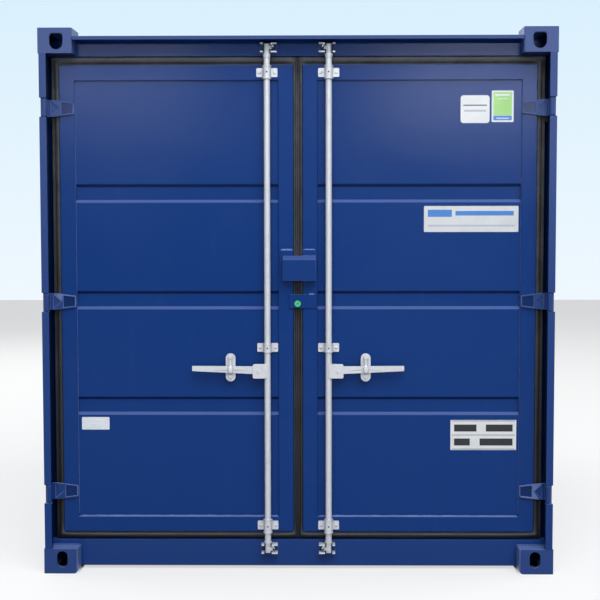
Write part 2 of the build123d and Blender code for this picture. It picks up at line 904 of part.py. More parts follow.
def cams(side, name):
    """The cams on both ends of a bar."""
    with BuildPart() as pair:
        for is_top in (False, True):
            add(cam(side, is_top))
    save(pair, name)


def handle(side, name):
    """A handle: an eye on the hub's rivet and a flat bar that tapers to its tip, with a dent."""
    eye_x = side * rivet_offset
    eye_z = hub_height_above_ground
    tip_x = side * handle_tip_offset
    root_z = eye_z + handle_root_rise
    tip_z = eye_z + handle_tip_rise
    dent_x = side * catch_offset
    dent_z = eye_z + dent_rise
    with BuildPart() as bar:
        with BuildSketch(at_depth(handle_front + handle_thickness)):
            with Locations((eye_x, eye_z)):
                Circle(handle_eye)
            with BuildLine():
                Polyline(
                    (eye_x, root_z + handle_root_height / 2),
                    (tip_x, tip_z + handle_tip_height / 2),
                    (tip_x, tip_z - handle_tip_height / 2),
                    (eye_x, root_z - handle_root_height / 2),
                    close=True,
                )
            make_face()
            with Locations((eye_x, eye_z)):
                Circle(rivet_radius + running_fit, mode=Mode.SUBTRACT)
        extrude(amount=handle_thickness)
        with BuildSketch(at_depth(handle_front + dent_depth)):
            with BuildLine():
                Polyline(
                    (dent_x - dent_reach, dent_z),
                    (dent_x, dent_z + dent_height / 2),
                    (dent_x + dent_reach, dent_z),
                    (dent_x, dent_z - dent_height / 2),
                    close=True,
                )
            make_face()
        extrude(amount=dent_depth, mode=Mode.SUBTRACT)
    save(bar, name)


def handle_posts(side, name):
    """An oval plate on two posts behind the handle, with the catch's pin and a peg on it."""
    x = side * catch_offset
    foot = foot_width / 2
    low = catch_lower_height - foot_margin
    high = catch_pivot_height + foot_margin
    rest_middle = catch_pivot_height + rest_overhang - rest_length / 2
    pin_front = catch_front - rivet_head_height
    with BuildPart() as posts:
        block((x - foot, x + foot), (field_depth - foot_thickness, field_depth), (low, high))
        fillet(posts.edges().filter_by(Axis.Y), radius=foot_corner)
        for level in (catch_lower_height, catch_pivot_height):
            rod(x, level, (rest_front, field_depth), post_radius)
        with BuildSketch(at_depth(rest_front + rest_thickness)):
            with Locations((x, rest_middle)):
                SlotOverall(rest_length, rest_width, rotation=90)
        extrude(amount=rest_thickness)
        rod(x, catch_pivot_height - peg_drop, (rest_front - peg_length, rest_front), post_radius)
        rod(x, catch_pivot_height, (pin_front, rest_front), rivet_radius)
        rod(x, catch_pivot_height, (pin_front, catch_front - seat_gap), rivet_head)
    save(posts, name)


def handle_catch(side, name):
    """The catch over the handle: a tongue that turns on the pin, with a boss and a knob."""
    x = side * catch_offset
    middle_z = catch_pivot_height + (catch_width - catch_length) / 2
    knob_z = catch_pivot_height + catch_width / 2 - catch_length + knob_rise
    hole = (catch_front, rest_front)
    with BuildPart() as catch:
        with BuildSketch(at_depth(catch_front + catch_thickness)):
            with Locations((x, middle_z)):
                SlotOverall(catch_length, catch_width, rotation=90)
        extrude(amount=catch_thickness)
        rod(x, catch_pivot_height, (catch_front, rest_front - seat_gap), catch_boss)
        rod(x, knob_z, (catch_front - knob_height, catch_front), knob_radius)
        rod(x, catch_pivot_height, hole, rivet_radius + running_fit, mode=Mode.SUBTRACT)
    save(catch, name)


def lock_bracket():
    """The left door's bracket in the lock box, with its padlock lug."""
    inner = -door_inner
    face = (door_depth - bracket_thickness, door_depth)
    with BuildPart() as bracket:
        block((-bracket_outer, inner), face, (bracket_low, bracket_high))
        lug = (-lug_offset - lug_thickness / 2, -lug_offset + lug_thickness / 2)
        block(lug, (lug_front, face[0]), (lug_low, lug_high))
        centre = (-lug_offset, front + (lug_front + face[0]) / 2, (lug_low + lug_high) / 2)
        with Locations(Location(centre, (0, 90, 0))):
            Cylinder(lug_hole, lug_spacing, mode=Mode.SUBTRACT)
    save(bracket, "left_lock_bracket")


def lock_box():
    """The right door's lock box: a hood open below and behind, on its own bracket."""
    with BuildPart() as box:
        with BuildSketch(Plane.YZ.offset(box_left)):
            with BuildLine():
                Polyline(
                    (front + box_front, box_low),
                    (front + box_front, box_edge),
                    (front + box_back, box_top),
                    (front + box_back, box_low),
                    close=True,
                )
            make_face()
        extrude(amount=box_right - box_left)
        with BuildSketch(Plane.YZ.offset(box_left + box_wall)):
            with BuildLine():
                Polyline(
                    (front + box_front + box_wall, box_low),
                    (front + box_front + box_wall, box_edge - box_wall),
                    (front + box_back, box_top - box_wall),
                    (front + box_back, box_low),
                    close=True,
                )
            make_face()
        extrude(amount=box_right - box_left - 2 * box_wall, mode=Mode.SUBTRACT)
        base = (box_back, door_depth)
        block((door_inner, box_right), base, (bracket_low, bracket_high))
        lug_middle = lug_spacing - lug_offset
        lug = (lug_middle - lug_thickness / 2, lug_middle + lug_thickness / 2)
        block(lug, (box_front + box_wall, box_back), (lug_low, box_edge - box_wall))
        depth = (lug_front + door_depth - bracket_thickness) / 2
        centre = (lug_middle, front + depth, (lug_low + lug_high) / 2)
        with Locations(Location(centre, (0, 90, 0))):
            Cylinder(lug_hole, lug_spacing, mode=Mode.SUBTRACT)
    save(box, "right_lock_box")


def overlap_plate():
    """The right door's stepped plate, which laps over the left door."""
    run = (overlap_low, overlap_high)
    lap_depths = (overlap_front, overlap_front + overlap_thickness)
    with BuildPart() as lap:
        block((overlap_left, overlap_step), lap_depths, run)
        block((door_inner, box_right), (door_depth - overlap_base, door_depth), run)
    save(lap, "right_overlap_plate")


def seal_plug():
    """The round plug in the overlap plate."""
    with BuildPart() as plug:
        depths = (overlap_front - plug_rise, overlap_front)
        rod(plug_x, plug_height_above_ground, depths, plug_radius)
    save(plug, "right_seal_plug")


def door(side, prefix):
    """All the pieces that both doors have."""
    door_frame(side, f"{prefix}_door_frame")
    door_panel(side, f"{prefix}_door_panel")
    door_gasket(side, f"{prefix}_door_gasket")
    hinge_leaves(side, f"{prefix}_hinge_leaves")
    bar_guides(side, f"{prefix}_bar_guides")
    handle_posts(side, f"{prefix}_handle_posts")
    lock_bar(side, f"{prefix}_lock_bar")
    cams(side, f"{prefix}_cams")
    handle(side, f"{prefix}_handle")
    handle_catch(side, f"{prefix}_handle_catch")


corner_castings("bottom_castings", is_top=False)
corner_castings("top_castings", is_top=True)
front_post(-1, "left_front_post")
front_post(1, "right_front_post")
rear_posts()
hinge_pins()
door_header()
door_sill()
rear_top_rail()
rear_bottom_rail()
top_side_rails()
bottom_side_rails()
fork_pockets()
cross_members()
side_wall(-1, "left_side_wall")
side_wall(1, "right_side_wall")
rear_wall()
roof_panel()
floor_boards()
cam_keepers()
door(-1, "left")
door(1, "right")
lock_bracket()
lock_box()
overlap_plate()
seal_plug()
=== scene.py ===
import json
import math

import bmesh
import bpy
import numpy as np
from mathutils import Matrix, Vector


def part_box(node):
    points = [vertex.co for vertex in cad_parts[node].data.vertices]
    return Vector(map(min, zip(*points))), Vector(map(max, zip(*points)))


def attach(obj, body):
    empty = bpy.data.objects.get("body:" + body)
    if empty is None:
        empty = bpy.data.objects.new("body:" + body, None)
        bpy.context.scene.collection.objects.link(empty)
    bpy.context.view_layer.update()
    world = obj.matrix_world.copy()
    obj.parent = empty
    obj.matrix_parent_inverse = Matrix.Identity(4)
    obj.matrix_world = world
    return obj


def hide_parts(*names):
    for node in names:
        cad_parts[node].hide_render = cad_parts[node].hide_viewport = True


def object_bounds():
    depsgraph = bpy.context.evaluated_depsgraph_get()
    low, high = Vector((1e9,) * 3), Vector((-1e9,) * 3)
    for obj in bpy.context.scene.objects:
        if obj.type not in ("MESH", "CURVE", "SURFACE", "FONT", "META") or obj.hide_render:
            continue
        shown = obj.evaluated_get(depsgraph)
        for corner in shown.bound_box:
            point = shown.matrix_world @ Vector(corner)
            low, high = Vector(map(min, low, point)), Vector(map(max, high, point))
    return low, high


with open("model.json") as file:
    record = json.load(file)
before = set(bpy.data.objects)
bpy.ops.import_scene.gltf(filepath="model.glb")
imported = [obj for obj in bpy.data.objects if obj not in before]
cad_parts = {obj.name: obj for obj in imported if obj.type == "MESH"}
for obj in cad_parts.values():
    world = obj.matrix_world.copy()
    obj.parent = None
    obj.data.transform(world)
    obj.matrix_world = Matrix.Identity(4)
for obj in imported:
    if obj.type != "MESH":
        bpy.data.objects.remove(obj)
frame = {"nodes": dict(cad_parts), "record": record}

bl_info = {
    "name": "Storage Container Finish",
    "version": (1, 0, 0),
    "blender": (4, 5, 0),
    "location": "View3D > Sidebar > Container",
    "description": "Paint, rubber, welds, rivets and plain labels for a ten foot storage container",
    "category": "Add Mesh",
}

# The box of the solids, kept from before anything is added
CAD_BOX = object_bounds()
FRONT = CAD_BOX[0].y
DOOR_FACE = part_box("left_door_frame")[0].y
FIELD_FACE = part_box("left_door_panel")[0].y
SIDES = {"left": -1, "right": 1}

# A corner casting's length across, along and up, its wall, and where it ends inwards
CASTING = (0.162, 0.178, 0.118)
CASTING_WALL = 0.012
CASTING_END = round(CAD_BOX[1].x - CASTING[0], 4)
# The upper castings' end holes: the middle, half the width, the top and the rounding
END_HOLE_X, END_HOLE_HALF, END_HOLE_TOP, END_HOLE_ROUND = 1.131, 0.032, 2.566, 0.019

# The bars' place, and the height, the seat and half the height of each guide
BAR_X = 0.1465
BAR_Y = FRONT + 0.064
SLEEVE_RADIUS = 0.020
GUIDES = (
    (0.2175, DOOR_FACE, 0.034),
    (1.080, FIELD_FACE, 0.021),
    (2.389, DOOR_FACE, 0.032),
)
COLLAR_LEVELS = (0.140, 2.461)
HINGE_LEVELS = (0.384, 1.303, 2.222)

# Sides of a weld bead, the angle past which an edge is rounded, and how far a label stands off
BEAD_TURNS = 8
SHARP_EDGE = math.radians(28.0)
LABEL_GAP = 0.0002


def node_box(name):
    """The lowest and highest corner of a CAD node as two numpy arrays."""
    low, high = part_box(name)
    return np.array(low), np.array(high)


def colour_value(name, description, default):
    """A colour that a user can change."""
    return bpy.props.FloatVectorProperty(
        name=name, description=description, subtype="COLOR", size=3, min=0, max=1,
        default=default)


def length_value(name, description, default, least=0.0):
    """A length that a user can change."""
    return bpy.props.FloatProperty(
        name=name, description=description, unit="LENGTH", min=least, default=default)


def angle_value(name, description, degrees):
    """An angle that a user can change."""
    return bpy.props.FloatProperty(
        name=name, description=description, unit="ROTATION", default=math.radians(degrees))


def plain_value(name, description, default, **limits):
    """A number without a unit that a user can change."""
    return bpy.props.FloatProperty(
        name=name, description=description, default=default, **limits)


class ContainerColours(bpy.types.PropertyGroup):
    """Colours of the finishes."""

    paint: colour_value("Paint", "The container's blue", (0.0030, 0.0345, 0.180))
    # The pale blue also paints light higher up, and the light blue paints highlights on ledges and
    # edges.
    paint_pale: colour_value(
        "Faded and lit paint", "The blue of dust, fading and painted light higher up", (0.078, 0.113, 0.262))
    paint_light: colour_value(
        "Dust and highlight paint", "The blue of dust and painted highlights on ledges and edges", (0.122, 0.180, 0.410))
    primer: colour_value("Primer", "What shows where the paint is chipped", (0.20, 0.19, 0.18))
    zinc: colour_value("Zinc", "The galvanised gear", (0.61, 0.62, 0.66))
    rubber: colour_value("Rubber", "The door gaskets", (0.012, 0.013, 0.015))
    rubber_dust: colour_value("Rubber dust", "Dust and painted light on the gaskets", (0.110, 0.114, 0.128))
    wood: colour_value("Plywood", "The floor boards", (0.24, 0.115, 0.050))
    plug: colour_value("Plug", "The round plug in the overlap plate", (0.010, 0.22, 0.070))
    label: colour_value("Label", "The plain labels", (0.69, 0.71, 0.74))
    label_blue: colour_value(
        "Label stripe", "The plain stripes on the labels", (0.045, 0.20, 0.55))
    label_green: colour_value("Green label", "The plain green label", (0.33, 0.62, 0.20))
    label_grey: colour_value(
        "Grey stripe", "The plain grey lines on the labels", (0.42, 0.45, 0.52))
    ink: colour_value("Ink", "The ruled lines on the weight plate", (0.012, 0.012, 0.014))


class ContainerSizes(bpy.types.PropertyGroup):
    """Sizes of what is added to the solids."""

    soft_edge: length_value("Plate edge", "Rounding of the plates' edges", 0.0016)
    worn_edge: length_value(
        "Worn edge", "Rounding of the castings', posts' and hinges' edges", 0.0026)
    gear_edge: length_value("Gear edge", "Rounding of the locking gear's edges", 0.0012)
    gasket_fin: length_value(
        "Gasket fin", "How much wider the gasket is on the hinge side", 0.0145)
    gasket_lap: length_value(
        "Gasket lap", "How much the right gasket reaches over at the middle", 0.005)
    gasket_seat: length_value(
        "Gasket seat", "How much taller the gasket is above and below", 0.003)
    weld_radius: length_value("Weld", "Radius of a weld bead", 0.0045)
    weld_ripple: length_value(
        "Weld ripple", "Distance between the ripples of a bead", 0.006, least=0.001)
    ledge_radius: length_value(
        "Ledge seam", "Radius of the seam along the foot of each panel", 0.0075)
    rivet_radius: length_value("Rivet", "Radius of a rivet head", 0.0075)
    grease_mark: length_value(
        "Grease mark", "Radius of the dark grease mark on each guide", 0.0040)
    label_thickness: length_value("Label thickness", "Thickness of a stuck label", 0.0005)


class ContainerCamera(bpy.types.PropertyGroup):
    """The camera, and the light around the container."""

    place: bpy.props.FloatVectorProperty(
        name="Place", description="Where the camera stands", subtype="TRANSLATION",
        size=3, unit="LENGTH", default=(0.080, -7.4605, 1.676))
    yaw: angle_value("Yaw", "Turn of the camera about the upright axis", -0.67)
    pitch: angle_value("Pitch", "How far the camera looks down", 3.47)
    roll: angle_value("Roll", "Turn of the camera about its own axis", -0.07)
    lens: plain_value("Lens", "Focal length on a 36 mm wide sensor", 75.888, min=1)
    sky: plain_value("Sky", "Strength of the even light from all sides", 0.235, min=0)
    key: plain_value("Key", "Power of the large soft lamp in front", 955.0, min=0)
    glow: plain_value("Glow", "Power of the lamps that the upper doors mirror", 215.0, min=0)
    back: plain_value("Back", "Power of the soft lamps behind and beside", 420.0, min=0)
    floor_shade: plain_value(
        "Floor", "How much light the floor gives back", 0.32, min=0, max=1)
    floor_glow: plain_value("Floor glow", "What is added to the floor for the eye", 0.60, min=0)
    floor_end: length_value(
        "Floor end", "How far the floor runs on behind the container", 20.2)


def group(name):
    """One of the scene's property groups."""
    return getattr(bpy.context.scene, name)


class Nodes:
    """A node tree, with short ways to add and join its nodes."""

    def __init__(self, tree):
        self.tree = tree

    def join(self, value, socket):
        """Lead a node's output or a plain value into a socket."""
        if isinstance(value, bpy.types.NodeSocket):
            self.tree.links.new(value, socket)
        else:
            socket.default_value = value

    def node(self, kind, **values):
        """A new node; values set its inputs by name, with spaces for underscores."""
        made = self.tree.nodes.new(kind)
        for name, value in values.items():
            self.join(value, made.inputs[name.replace("_", " ")])
        return made

    def ramp(self, value, low, high, out_low=0.0, out_high=1.0, smooth=True):
        """A value mapped from one range to another, smooth at both ends or straight."""
        made = self.node(
            "ShaderNodeMapRange", Value=value, From_Min=low, From_Max=high, To_Min=out_low,
            To_Max=out_high)
        made.interpolation_type = "SMOOTHSTEP" if smooth else "LINEAR"
        return made.outputs["Result"]

    def maths(self, operation, first, second=0.0):
        """One arithmetic step on two values."""
        made = self.tree.nodes.new("ShaderNodeMath")
        made.operation = operation
        for value, socket in zip((first, second), made.inputs):
            self.join(value, socket)
        return made.outputs["Value"]

    def mix(self, factor, first, second):
        """Two colours mixed by a factor; a colour is three numbers or a socket."""
        made = self.tree.nodes.new("ShaderNodeMix")
        made.data_type = "RGBA"
        self.join(factor, made.inputs["Factor"])
        sockets = [socket for socket in made.inputs if socket.type == "RGBA"]
        for value, socket in zip((first, second), sockets):
            joined = isinstance(value, bpy.types.NodeSocket)
            self.join(value if joined else (*value, 1.0), socket)
        return next(socket for socket in made.outputs if socket.type == "RGBA")

    def axis(self, name, vector=None):
        """One part of a vector, or else of the object's place."""
        return self.node("ShaderNodeSeparateXYZ", Vector=vector or self.place).outputs[name]


class Finish(Nodes):
    """A material under construction."""

    def __init__(self, name, roughness=0.5, metallic=0.0, specular=0.5):
        self.material = bpy.data.materials.new(name)
        self.material.use_nodes = True
        super().__init__(self.material.node_tree)
        self.shader = self.tree.nodes["Principled BSDF"]
        self.shader.inputs["Roughness"].default_value = roughness
        self.shader.inputs["Metallic"].default_value = metallic
        self.shader.inputs["Specular IOR Level"].default_value = specular
        self.place = self.node("ShaderNodeTexCoord").outputs["Object"]

    def stretched(self, scale):
        """The object's coordinates, scaled by axis."""
        return self.node("ShaderNodeMapping", Vector=self.place, Scale=scale).outputs["Vector"]

    def noise(self, scale, detail=4.0, roughness=0.55, vector=None, distortion=0.0):
        """A noise pattern's grey value."""
        made = self.node(
            "ShaderNodeTexNoise", Vector=vector or self.place, Scale=scale, Detail=detail,
            Roughness=roughness, Distortion=distortion)
        return made.outputs["Fac"]

    def facing_up(self):
        """How far the surface faces up, from -1 to 1."""
        return self.axis("Z", self.node("ShaderNodeNewGeometry").outputs["Normal"])

    def colour(self, socket):
        """Join the shader's colour."""
        self.join(socket, self.shader.inputs["Base Color"])

    def rough(self, socket):
        """Join the shader's roughness."""
        self.join(socket, self.shader.inputs["Roughness"])

    def bump(self, layers):
        """Join a chain of bumps; each layer is a height, a strength and a depth in metres."""
        normal = None
        for height, strength, depth in layers:
            made = self.node("ShaderNodeBump", Height=height, Strength=strength, Distance=depth)
            if normal is not None:
                self.join(normal, made.inputs["Normal"])
            normal = made.outputs["Normal"]
        self.join(normal, self.shader.inputs["Normal"])


def paint_finish(name, low_share, high_share, shade=1.0, ledge_share=0.85):
    """Satin container paint: slow drifts of shade, orange peel, dust, fine scuffs and chips.

    The shares are how far the piece is paled at its foot and at the top of the container, as
    painted light that grows upwards, and the shade darkens the whole, as painted shade in
    recesses. Dust and a painted highlight from above lie on what faces up, less on the roof,
    and what faces down is darker as painted shade.
    """
    colours = group("container_colours")
    paint = Finish(name, roughness=0.4, specular=0.10)
    drift = paint.ramp(paint.noise(0.8, 3.0), 0.38, 0.72, 0.0, 0.03)
    dust = paint.ramp(paint.noise(7.0, 6.0, 0.65), 0.50, 0.80, 0.0, 0.04)
    pale = paint.maths("ADD", drift, dust)
    streaks = paint.ramp(
        paint.noise(1.6, 5.0, 0.6, paint.stretched((9.0, 9.0, 0.55))), 0.56, 0.78, 0.0, 0.05)
    pale = paint.maths("ADD", pale, streaks)
    # Painted light: the paint grows paler towards the top of the container, by the two shares.
    pale = paint.maths("ADD", pale, paint.ramp(paint.axis("Z"), 0.2, 2.5, low_share, high_share))
    dark = tuple(shade * part for part in colours.paint)
    base = paint.mix(pale, dark, tuple(shade * part for part in colours.paint_pale))
    # Painted shade: faces that look down are darkened.
    under = paint.ramp(paint.facing_up(), -0.9, -0.15, 0.75, 0.0)
    base = paint.mix(under, base, tuple(0.3 * shade * part for part in colours.paint))
    # Dust and a painted highlight: faces that look up are lighter, less so on the roof.
    ledge = paint.ramp(paint.facing_up(), 0.30, 1.0, 0.0, ledge_share)
    ledge = paint.maths("MULTIPLY", ledge, paint.ramp(paint.axis("Z"), 2.50, 2.56, 1.0, 0.35))
    base = paint.mix(ledge, base, tuple(shade * part for part in colours.paint_light))
    scuffs = paint.ramp(
        paint.noise(5.0, 8.0, 0.7, paint.stretched((3.0, 3.0, 26.0)), 0.4), 0.70, 0.76, 0.0, 0.08)
    base = paint.mix(scuffs, base, tuple(shade * part for part in colours.paint_pale))
    low_band = paint.ramp(paint.axis("Z"), 0.02, 0.16, 1.0, 0.0)
    high_band = paint.ramp(paint.axis("Z"), 2.55, 2.60, 0.0, 0.8)
    wear_zone = paint.maths("MAXIMUM", low_band, high_band)
    chips = paint.ramp(paint.noise(38.0, 7.0, 0.72, None, 0.6), 0.71, 0.725, 0.0, 1.0)
    chips = paint.maths("MULTIPLY", chips, wear_zone)
    base = paint.mix(chips, base, tuple(shade * part for part in colours.primer))
    paint.colour(base)
    gloss = paint.ramp(paint.noise(1.7, 5.0), 0.3, 0.7, 0.16, 0.22)
    gloss = paint.maths("ADD", gloss, paint.ramp(paint.facing_up(), 0.25, 0.65, 0.0, 0.35))
    paint.rough(paint.maths("ADD", gloss, paint.maths("MULTIPLY", pale, 0.25)))
    peel = paint.noise(420.0, 2.0, 0.5)
    dents = paint.noise(2.6, 2.0, 0.4)
    paint.bump([(dents, 0.30, 0.006), (peel, 0.14, 0.0004), (chips, 0.5, -0.0003)])
    return paint.material


def edge_finish():
    """Edge and rib paint: rubbed lighter in long uneven patches, and a painted highlight."""
    colours = group("container_colours")
    edge = Finish("worn_edge_paint", roughness=0.42, specular=0.2)
    patches = edge.ramp(edge.noise(11.0, 6.0, 0.65), 0.34, 0.66, 0.15, 0.85)
    low = edge.ramp(edge.axis("Z"), 2.0, 2.6, 1.0, 0.75)
    share = edge.maths("MULTIPLY", patches, low)
    edge.colour(edge.mix(share, tuple(colours.paint_pale), tuple(colours.paint_light)))
    edge.rough(edge.ramp(patches, 0.15, 0.85, 0.34, 0.52))
    edge.bump([(edge.noise(240.0, 3.0), 0.2, 0.0003)])
    return edge.material


def zinc_finish():
    """Galvanised steel: a faint spangle, dull patches and fine scratches along Z."""
    colours = group("container_colours")
    zinc = Finish("galvanised_steel", roughness=0.5, metallic=0.25, specular=0.4)
    cells = zinc.node("ShaderNodeTexVoronoi", Vector=zinc.place, Scale=130.0)
    grey = zinc.node("ShaderNodeSeparateColor", Color=cells.outputs["Color"]).outputs["Red"]
    spangle = zinc.ramp(grey, 0.0, 1.0, 0.0, 0.11)
    cloud = zinc.ramp(zinc.noise(14.0, 6.0, 0.65), 0.40, 0.75, 0.0, 0.22)
    bright = tuple(colours.zinc)
    base = zinc.mix(zinc.maths("ADD", spangle, cloud), bright, tuple(0.60 * p for p in bright))
    # Painted shade: faces that look down are darkened.
    under = zinc.ramp(zinc.facing_up(), -0.75, -0.10, 0.55, 0.0)
    base = zinc.mix(under, base, tuple(0.16 * part for part in bright))
    zinc.colour(base)
    scratches = zinc.noise(9.0, 4.0, 0.6, zinc.stretched((60.0, 60.0, 3.0)))
    zinc.rough(zinc.maths("ADD", zinc.ramp(cloud, 0.0, 0.22, 0.38, 0.56), spangle))
    zinc.bump([(cloud, 0.25, 0.0006), (scratches, 0.20, 0.0002)])
    return zinc.material


def rubber_finish():
    """Gasket rubber: near black below, greyer above and facing up with dust and painted light."""
    colours = group("container_colours")
    rubber = Finish("gasket_rubber", roughness=0.62, specular=0.30)
    cloud = rubber.ramp(rubber.noise(9.0, 7.0, 0.7), 0.35, 0.72, 0.35, 1.0)
    # Dust and painted light from above: greyer higher up and where it faces up.
    up = rubber.ramp(rubber.facing_up(), -0.1, 0.60, 0.0, 0.45)
    high = rubber.ramp(rubber.axis("Z"), 0.2, 2.4, 0.12, 0.78)
    factor = rubber.maths("ADD", rubber.maths("MULTIPLY", cloud, high), up)
    rubber.colour(rubber.mix(factor, tuple(colours.rubber), tuple(colours.rubber_dust)))
    rubber.rough(rubber.ramp(cloud, 0.35, 1.0, 0.50, 0.80))
    rubber.bump([(rubber.noise(160.0, 4.0), 0.25, 0.0004), (cloud, 0.15, 0.0006)])
    return rubber.material


def wood_finish():
    """Floor plywood: long grain, darker patches and the joints between the boards."""
    colours = group("container_colours")
    wood = Finish("floor_plywood", roughness=0.6, specular=0.3)
    grain_place = wood.stretched((26.0, 1.3, 26.0))
    grain = wood.noise(1.9, 9.0, 0.66, grain_place, 0.9)
    light = tuple(colours.wood)
    dark = tuple(0.42 * part for part in light)
    base = wood.mix(wood.ramp(grain, 0.32, 0.70), dark, light)
    patches = wood.ramp(wood.noise(1.7, 5.0), 0.40, 0.75, 0.0, 0.45)
    base = wood.mix(patches, base, dark)
    board = wood.node("ShaderNodeTexBrick", Vector=wood.place, Scale=1.0)
    board.offset = 0.5
    board.inputs["Mortar Size"].default_value = 0.0022
    board.inputs["Brick Width"].default_value = 1.17
    board.inputs["Row Height"].default_value = 0.62
    joints = board.outputs["Fac"]
    wood.colour(wood.mix(joints, base, tuple(0.12 * part for part in light)))
    wood.rough(wood.ramp(grain, 0.3, 0.7, 0.50, 0.75))
    wood.bump([(grain, 0.22, 0.0007), (joints, 0.8, -0.0015)])
    return wood.material


def plug_finish():
    """Moulded green plastic with a fine grain, darker round its middle and at its rim."""
    colours = group("container_colours")
    plug = Finish("green_plastic", roughness=0.45, specular=0.4)
    low, high = node_box("right_seal_plug")
    middle = (low + high) / 2
    radius = (high[0] - low[0]) / 2
    across = plug.maths("SUBTRACT", plug.axis("X"), middle[0])
    upward = plug.maths("SUBTRACT", plug.axis("Z"), middle[2])
    reach = plug.maths("SQRT", plug.maths(
        "ADD", plug.maths("POWER", across, 2.0), plug.maths("POWER", upward, 2.0)))
    ring = plug.maths("MULTIPLY", plug.ramp(reach, 0.22 * radius, 0.42 * radius),
                      plug.ramp(reach, 0.66 * radius, 0.98 * radius, 1.0, 0.0))
    base = tuple(colours.plug)
    pale = tuple(min(1.0, 2.4 * part + 0.05) for part in base)
    grain = plug.ramp(plug.noise(90.0, 3.0), 0.35, 0.7, 0.7, 1.0)
    plug.colour(plug.mix(plug.maths("MULTIPLY", ring, grain), base, pale))
    plug.rough(plug.ramp(plug.noise(60.0), 0.3, 0.7, 0.38, 0.55))
    plug.bump([(ring, 0.6, 0.001), (plug.noise(900.0, 2.0), 0.3, 0.0002)])
    return plug.material


def film_finish(name, source, shade=1.0, gloss=0.32):
    """Printed vinyl film: a little uneven in shade and in gloss, with a slight orange peel."""
    film = Finish(name, roughness=gloss, specular=0.4)
    base = tuple(shade * part for part in getattr(group("container_colours"), source))
    aged = tuple(0.90 * part for part in base)
    film.colour(film.mix(film.ramp(film.noise(16.0, 6.0, 0.6), 0.4, 0.75, 0.0, 0.8), base, aged))
    film.rough(film.ramp(film.noise(9.0, 4.0), 0.3, 0.7, gloss - 0.05, gloss + 0.12))
    film.bump([(film.noise(55.0, 3.0), 0.12, 0.0003)])
    return film.material


def plate_finish():
    """Bare aluminium of the small plate, brushed along its length."""
    plate = Finish("small_plate_metal", roughness=0.36, metallic=0.8)
    brushed = plate.noise(3.0, 6.0, 0.6, plate.stretched((12.0, 12.0, 420.0)))
    plate.colour(plate.mix(plate.ramp(brushed, 0.3, 0.7), (0.50, 0.52, 0.55), (0.72, 0.74, 0.77)))
    plate.rough(plate.ramp(brushed, 0.3, 0.7, 0.30, 0.46))
    plate.bump([(brushed, 0.15, 0.0001)])
    return plate.material


# Each paint's material name and the shares that paint_finish takes
PAINTS = {
    "paint": ("container_paint", 0.0, 0.03),
    # Frame and casting paints grow paler towards the top as painted light.
    "frame paint": ("frame_paint", 0.10, 0.45),
    "casting paint": ("casting_paint", 0.28, 0.80),
    "sill paint": ("sill_paint", 0.10, 0.10, 1.0, 0.1),
    # Painted shade: the sunk faces between the hinge ribs are darkened.
    "recess paint": ("recess_paint", 0.0, 0.06, 0.6, 0.6),
    # Painted shade: the posts' faces inside the jamb are darkened.
    "jamb paint": ("jamb_paint", 0.0, 0.0, 0.28, 0.3),
    "box paint": ("box_paint", 0.02, 0.06, 1.0, 0.35),
    # Painted shade: the inside of the corner castings is near black.
    "hidden paint": ("hidden_paint", 0.0, 0.0, 0.16),
}
# Each film's material name, its colour, and where they differ its shade and gloss
FILMS = {
    "white film": ("white_film", "label"),
    "dull film": ("dull_film", "label", 0.88),
    "blue film": ("blue_film", "label_blue"),
    "green film": ("green_film", "label_green"),
    "grey film": ("grey_film", "label_grey"),
    "ink": ("black_ink", "ink", 1.0, 0.4),
}
OTHERS = {
    "worn edge": edge_finish,
    "galvanised": zinc_finish,
    "gasket": rubber_finish,
    "plywood": wood_finish,
    "plug": plug_finish,
    "small plate": plate_finish,
}
FINISHES = {}


def finish(name):
    """A material by its short name, made the first time that it is asked for."""
    if name not in FINISHES:
        if name in PAINTS:
            FINISHES[name] = paint_finish(*PAINTS[name])
        elif name in FILMS:
            FINISHES[name] = film_finish(*FILMS[name])
        else:
            FINISHES[name] = OTHERS[name]()
    return FINISHES[name]


def make_mesh(name, points, faces, finishes, smooth=True):
    """A mesh object at the origin from an array of points and an array of faces."""
    mesh = bpy.data.meshes.new(name)
    mesh.from_pydata(np.asarray(points, float).tolist(), [], [list(face) for face in faces])
    for label in finishes:
        mesh.materials.append(finish(label))
    mesh.polygons.foreach_set("use_smooth", np.full(len(mesh.polygons), smooth))
    mesh.update()
    made = bpy.data.objects.new(name, mesh)
    bpy.context.scene.collection.objects.link(made)
    return made


def ring_about(axis, turns):
    """Points of a circle of radius one about an axis through the origin.

    Each point is the cosine of its angle times one direction square to the axis, plus the
    sine times the other.
    """
    side = np.cross(axis, (0.0, 0.0, 1.0))
    if np.linalg.norm(side) < 0.1:
        side = np.cross(axis, (1.0, 0.0, 0.0))
    side /= np.linalg.norm(side)
    other = np.cross(axis, side)
    turn = np.linspace(0.0, 2 * np.pi, turns, endpoint=False)[:, None]
    return np.cos(turn) * side + np.sin(turn) * other


def lathe(profile, centre, axis, turns=28):
    """A closed outline of (radius, height) pairs turned round an axis through the centre."""
    axis = np.asarray(axis, float)
    radius, height = np.asarray(profile, float).T[:, :, None, None]
    points = centre + height * axis + radius * ring_about(axis, turns)
    faces = grid_faces(len(profile), turns, wrap_rows=True, wrap_columns=True)
    return points.reshape(-1, 3), faces.tolist()


def band(inner, outer, half, bevel, bevel_height):
    """The outline of a band round a bar, with its two outer edges bevelled."""
    return [(inner, -half), (outer - bevel, -half), (outer, bevel_height - half),
            (outer, half - bevel_height), (outer - bevel, half), (inner, half)]


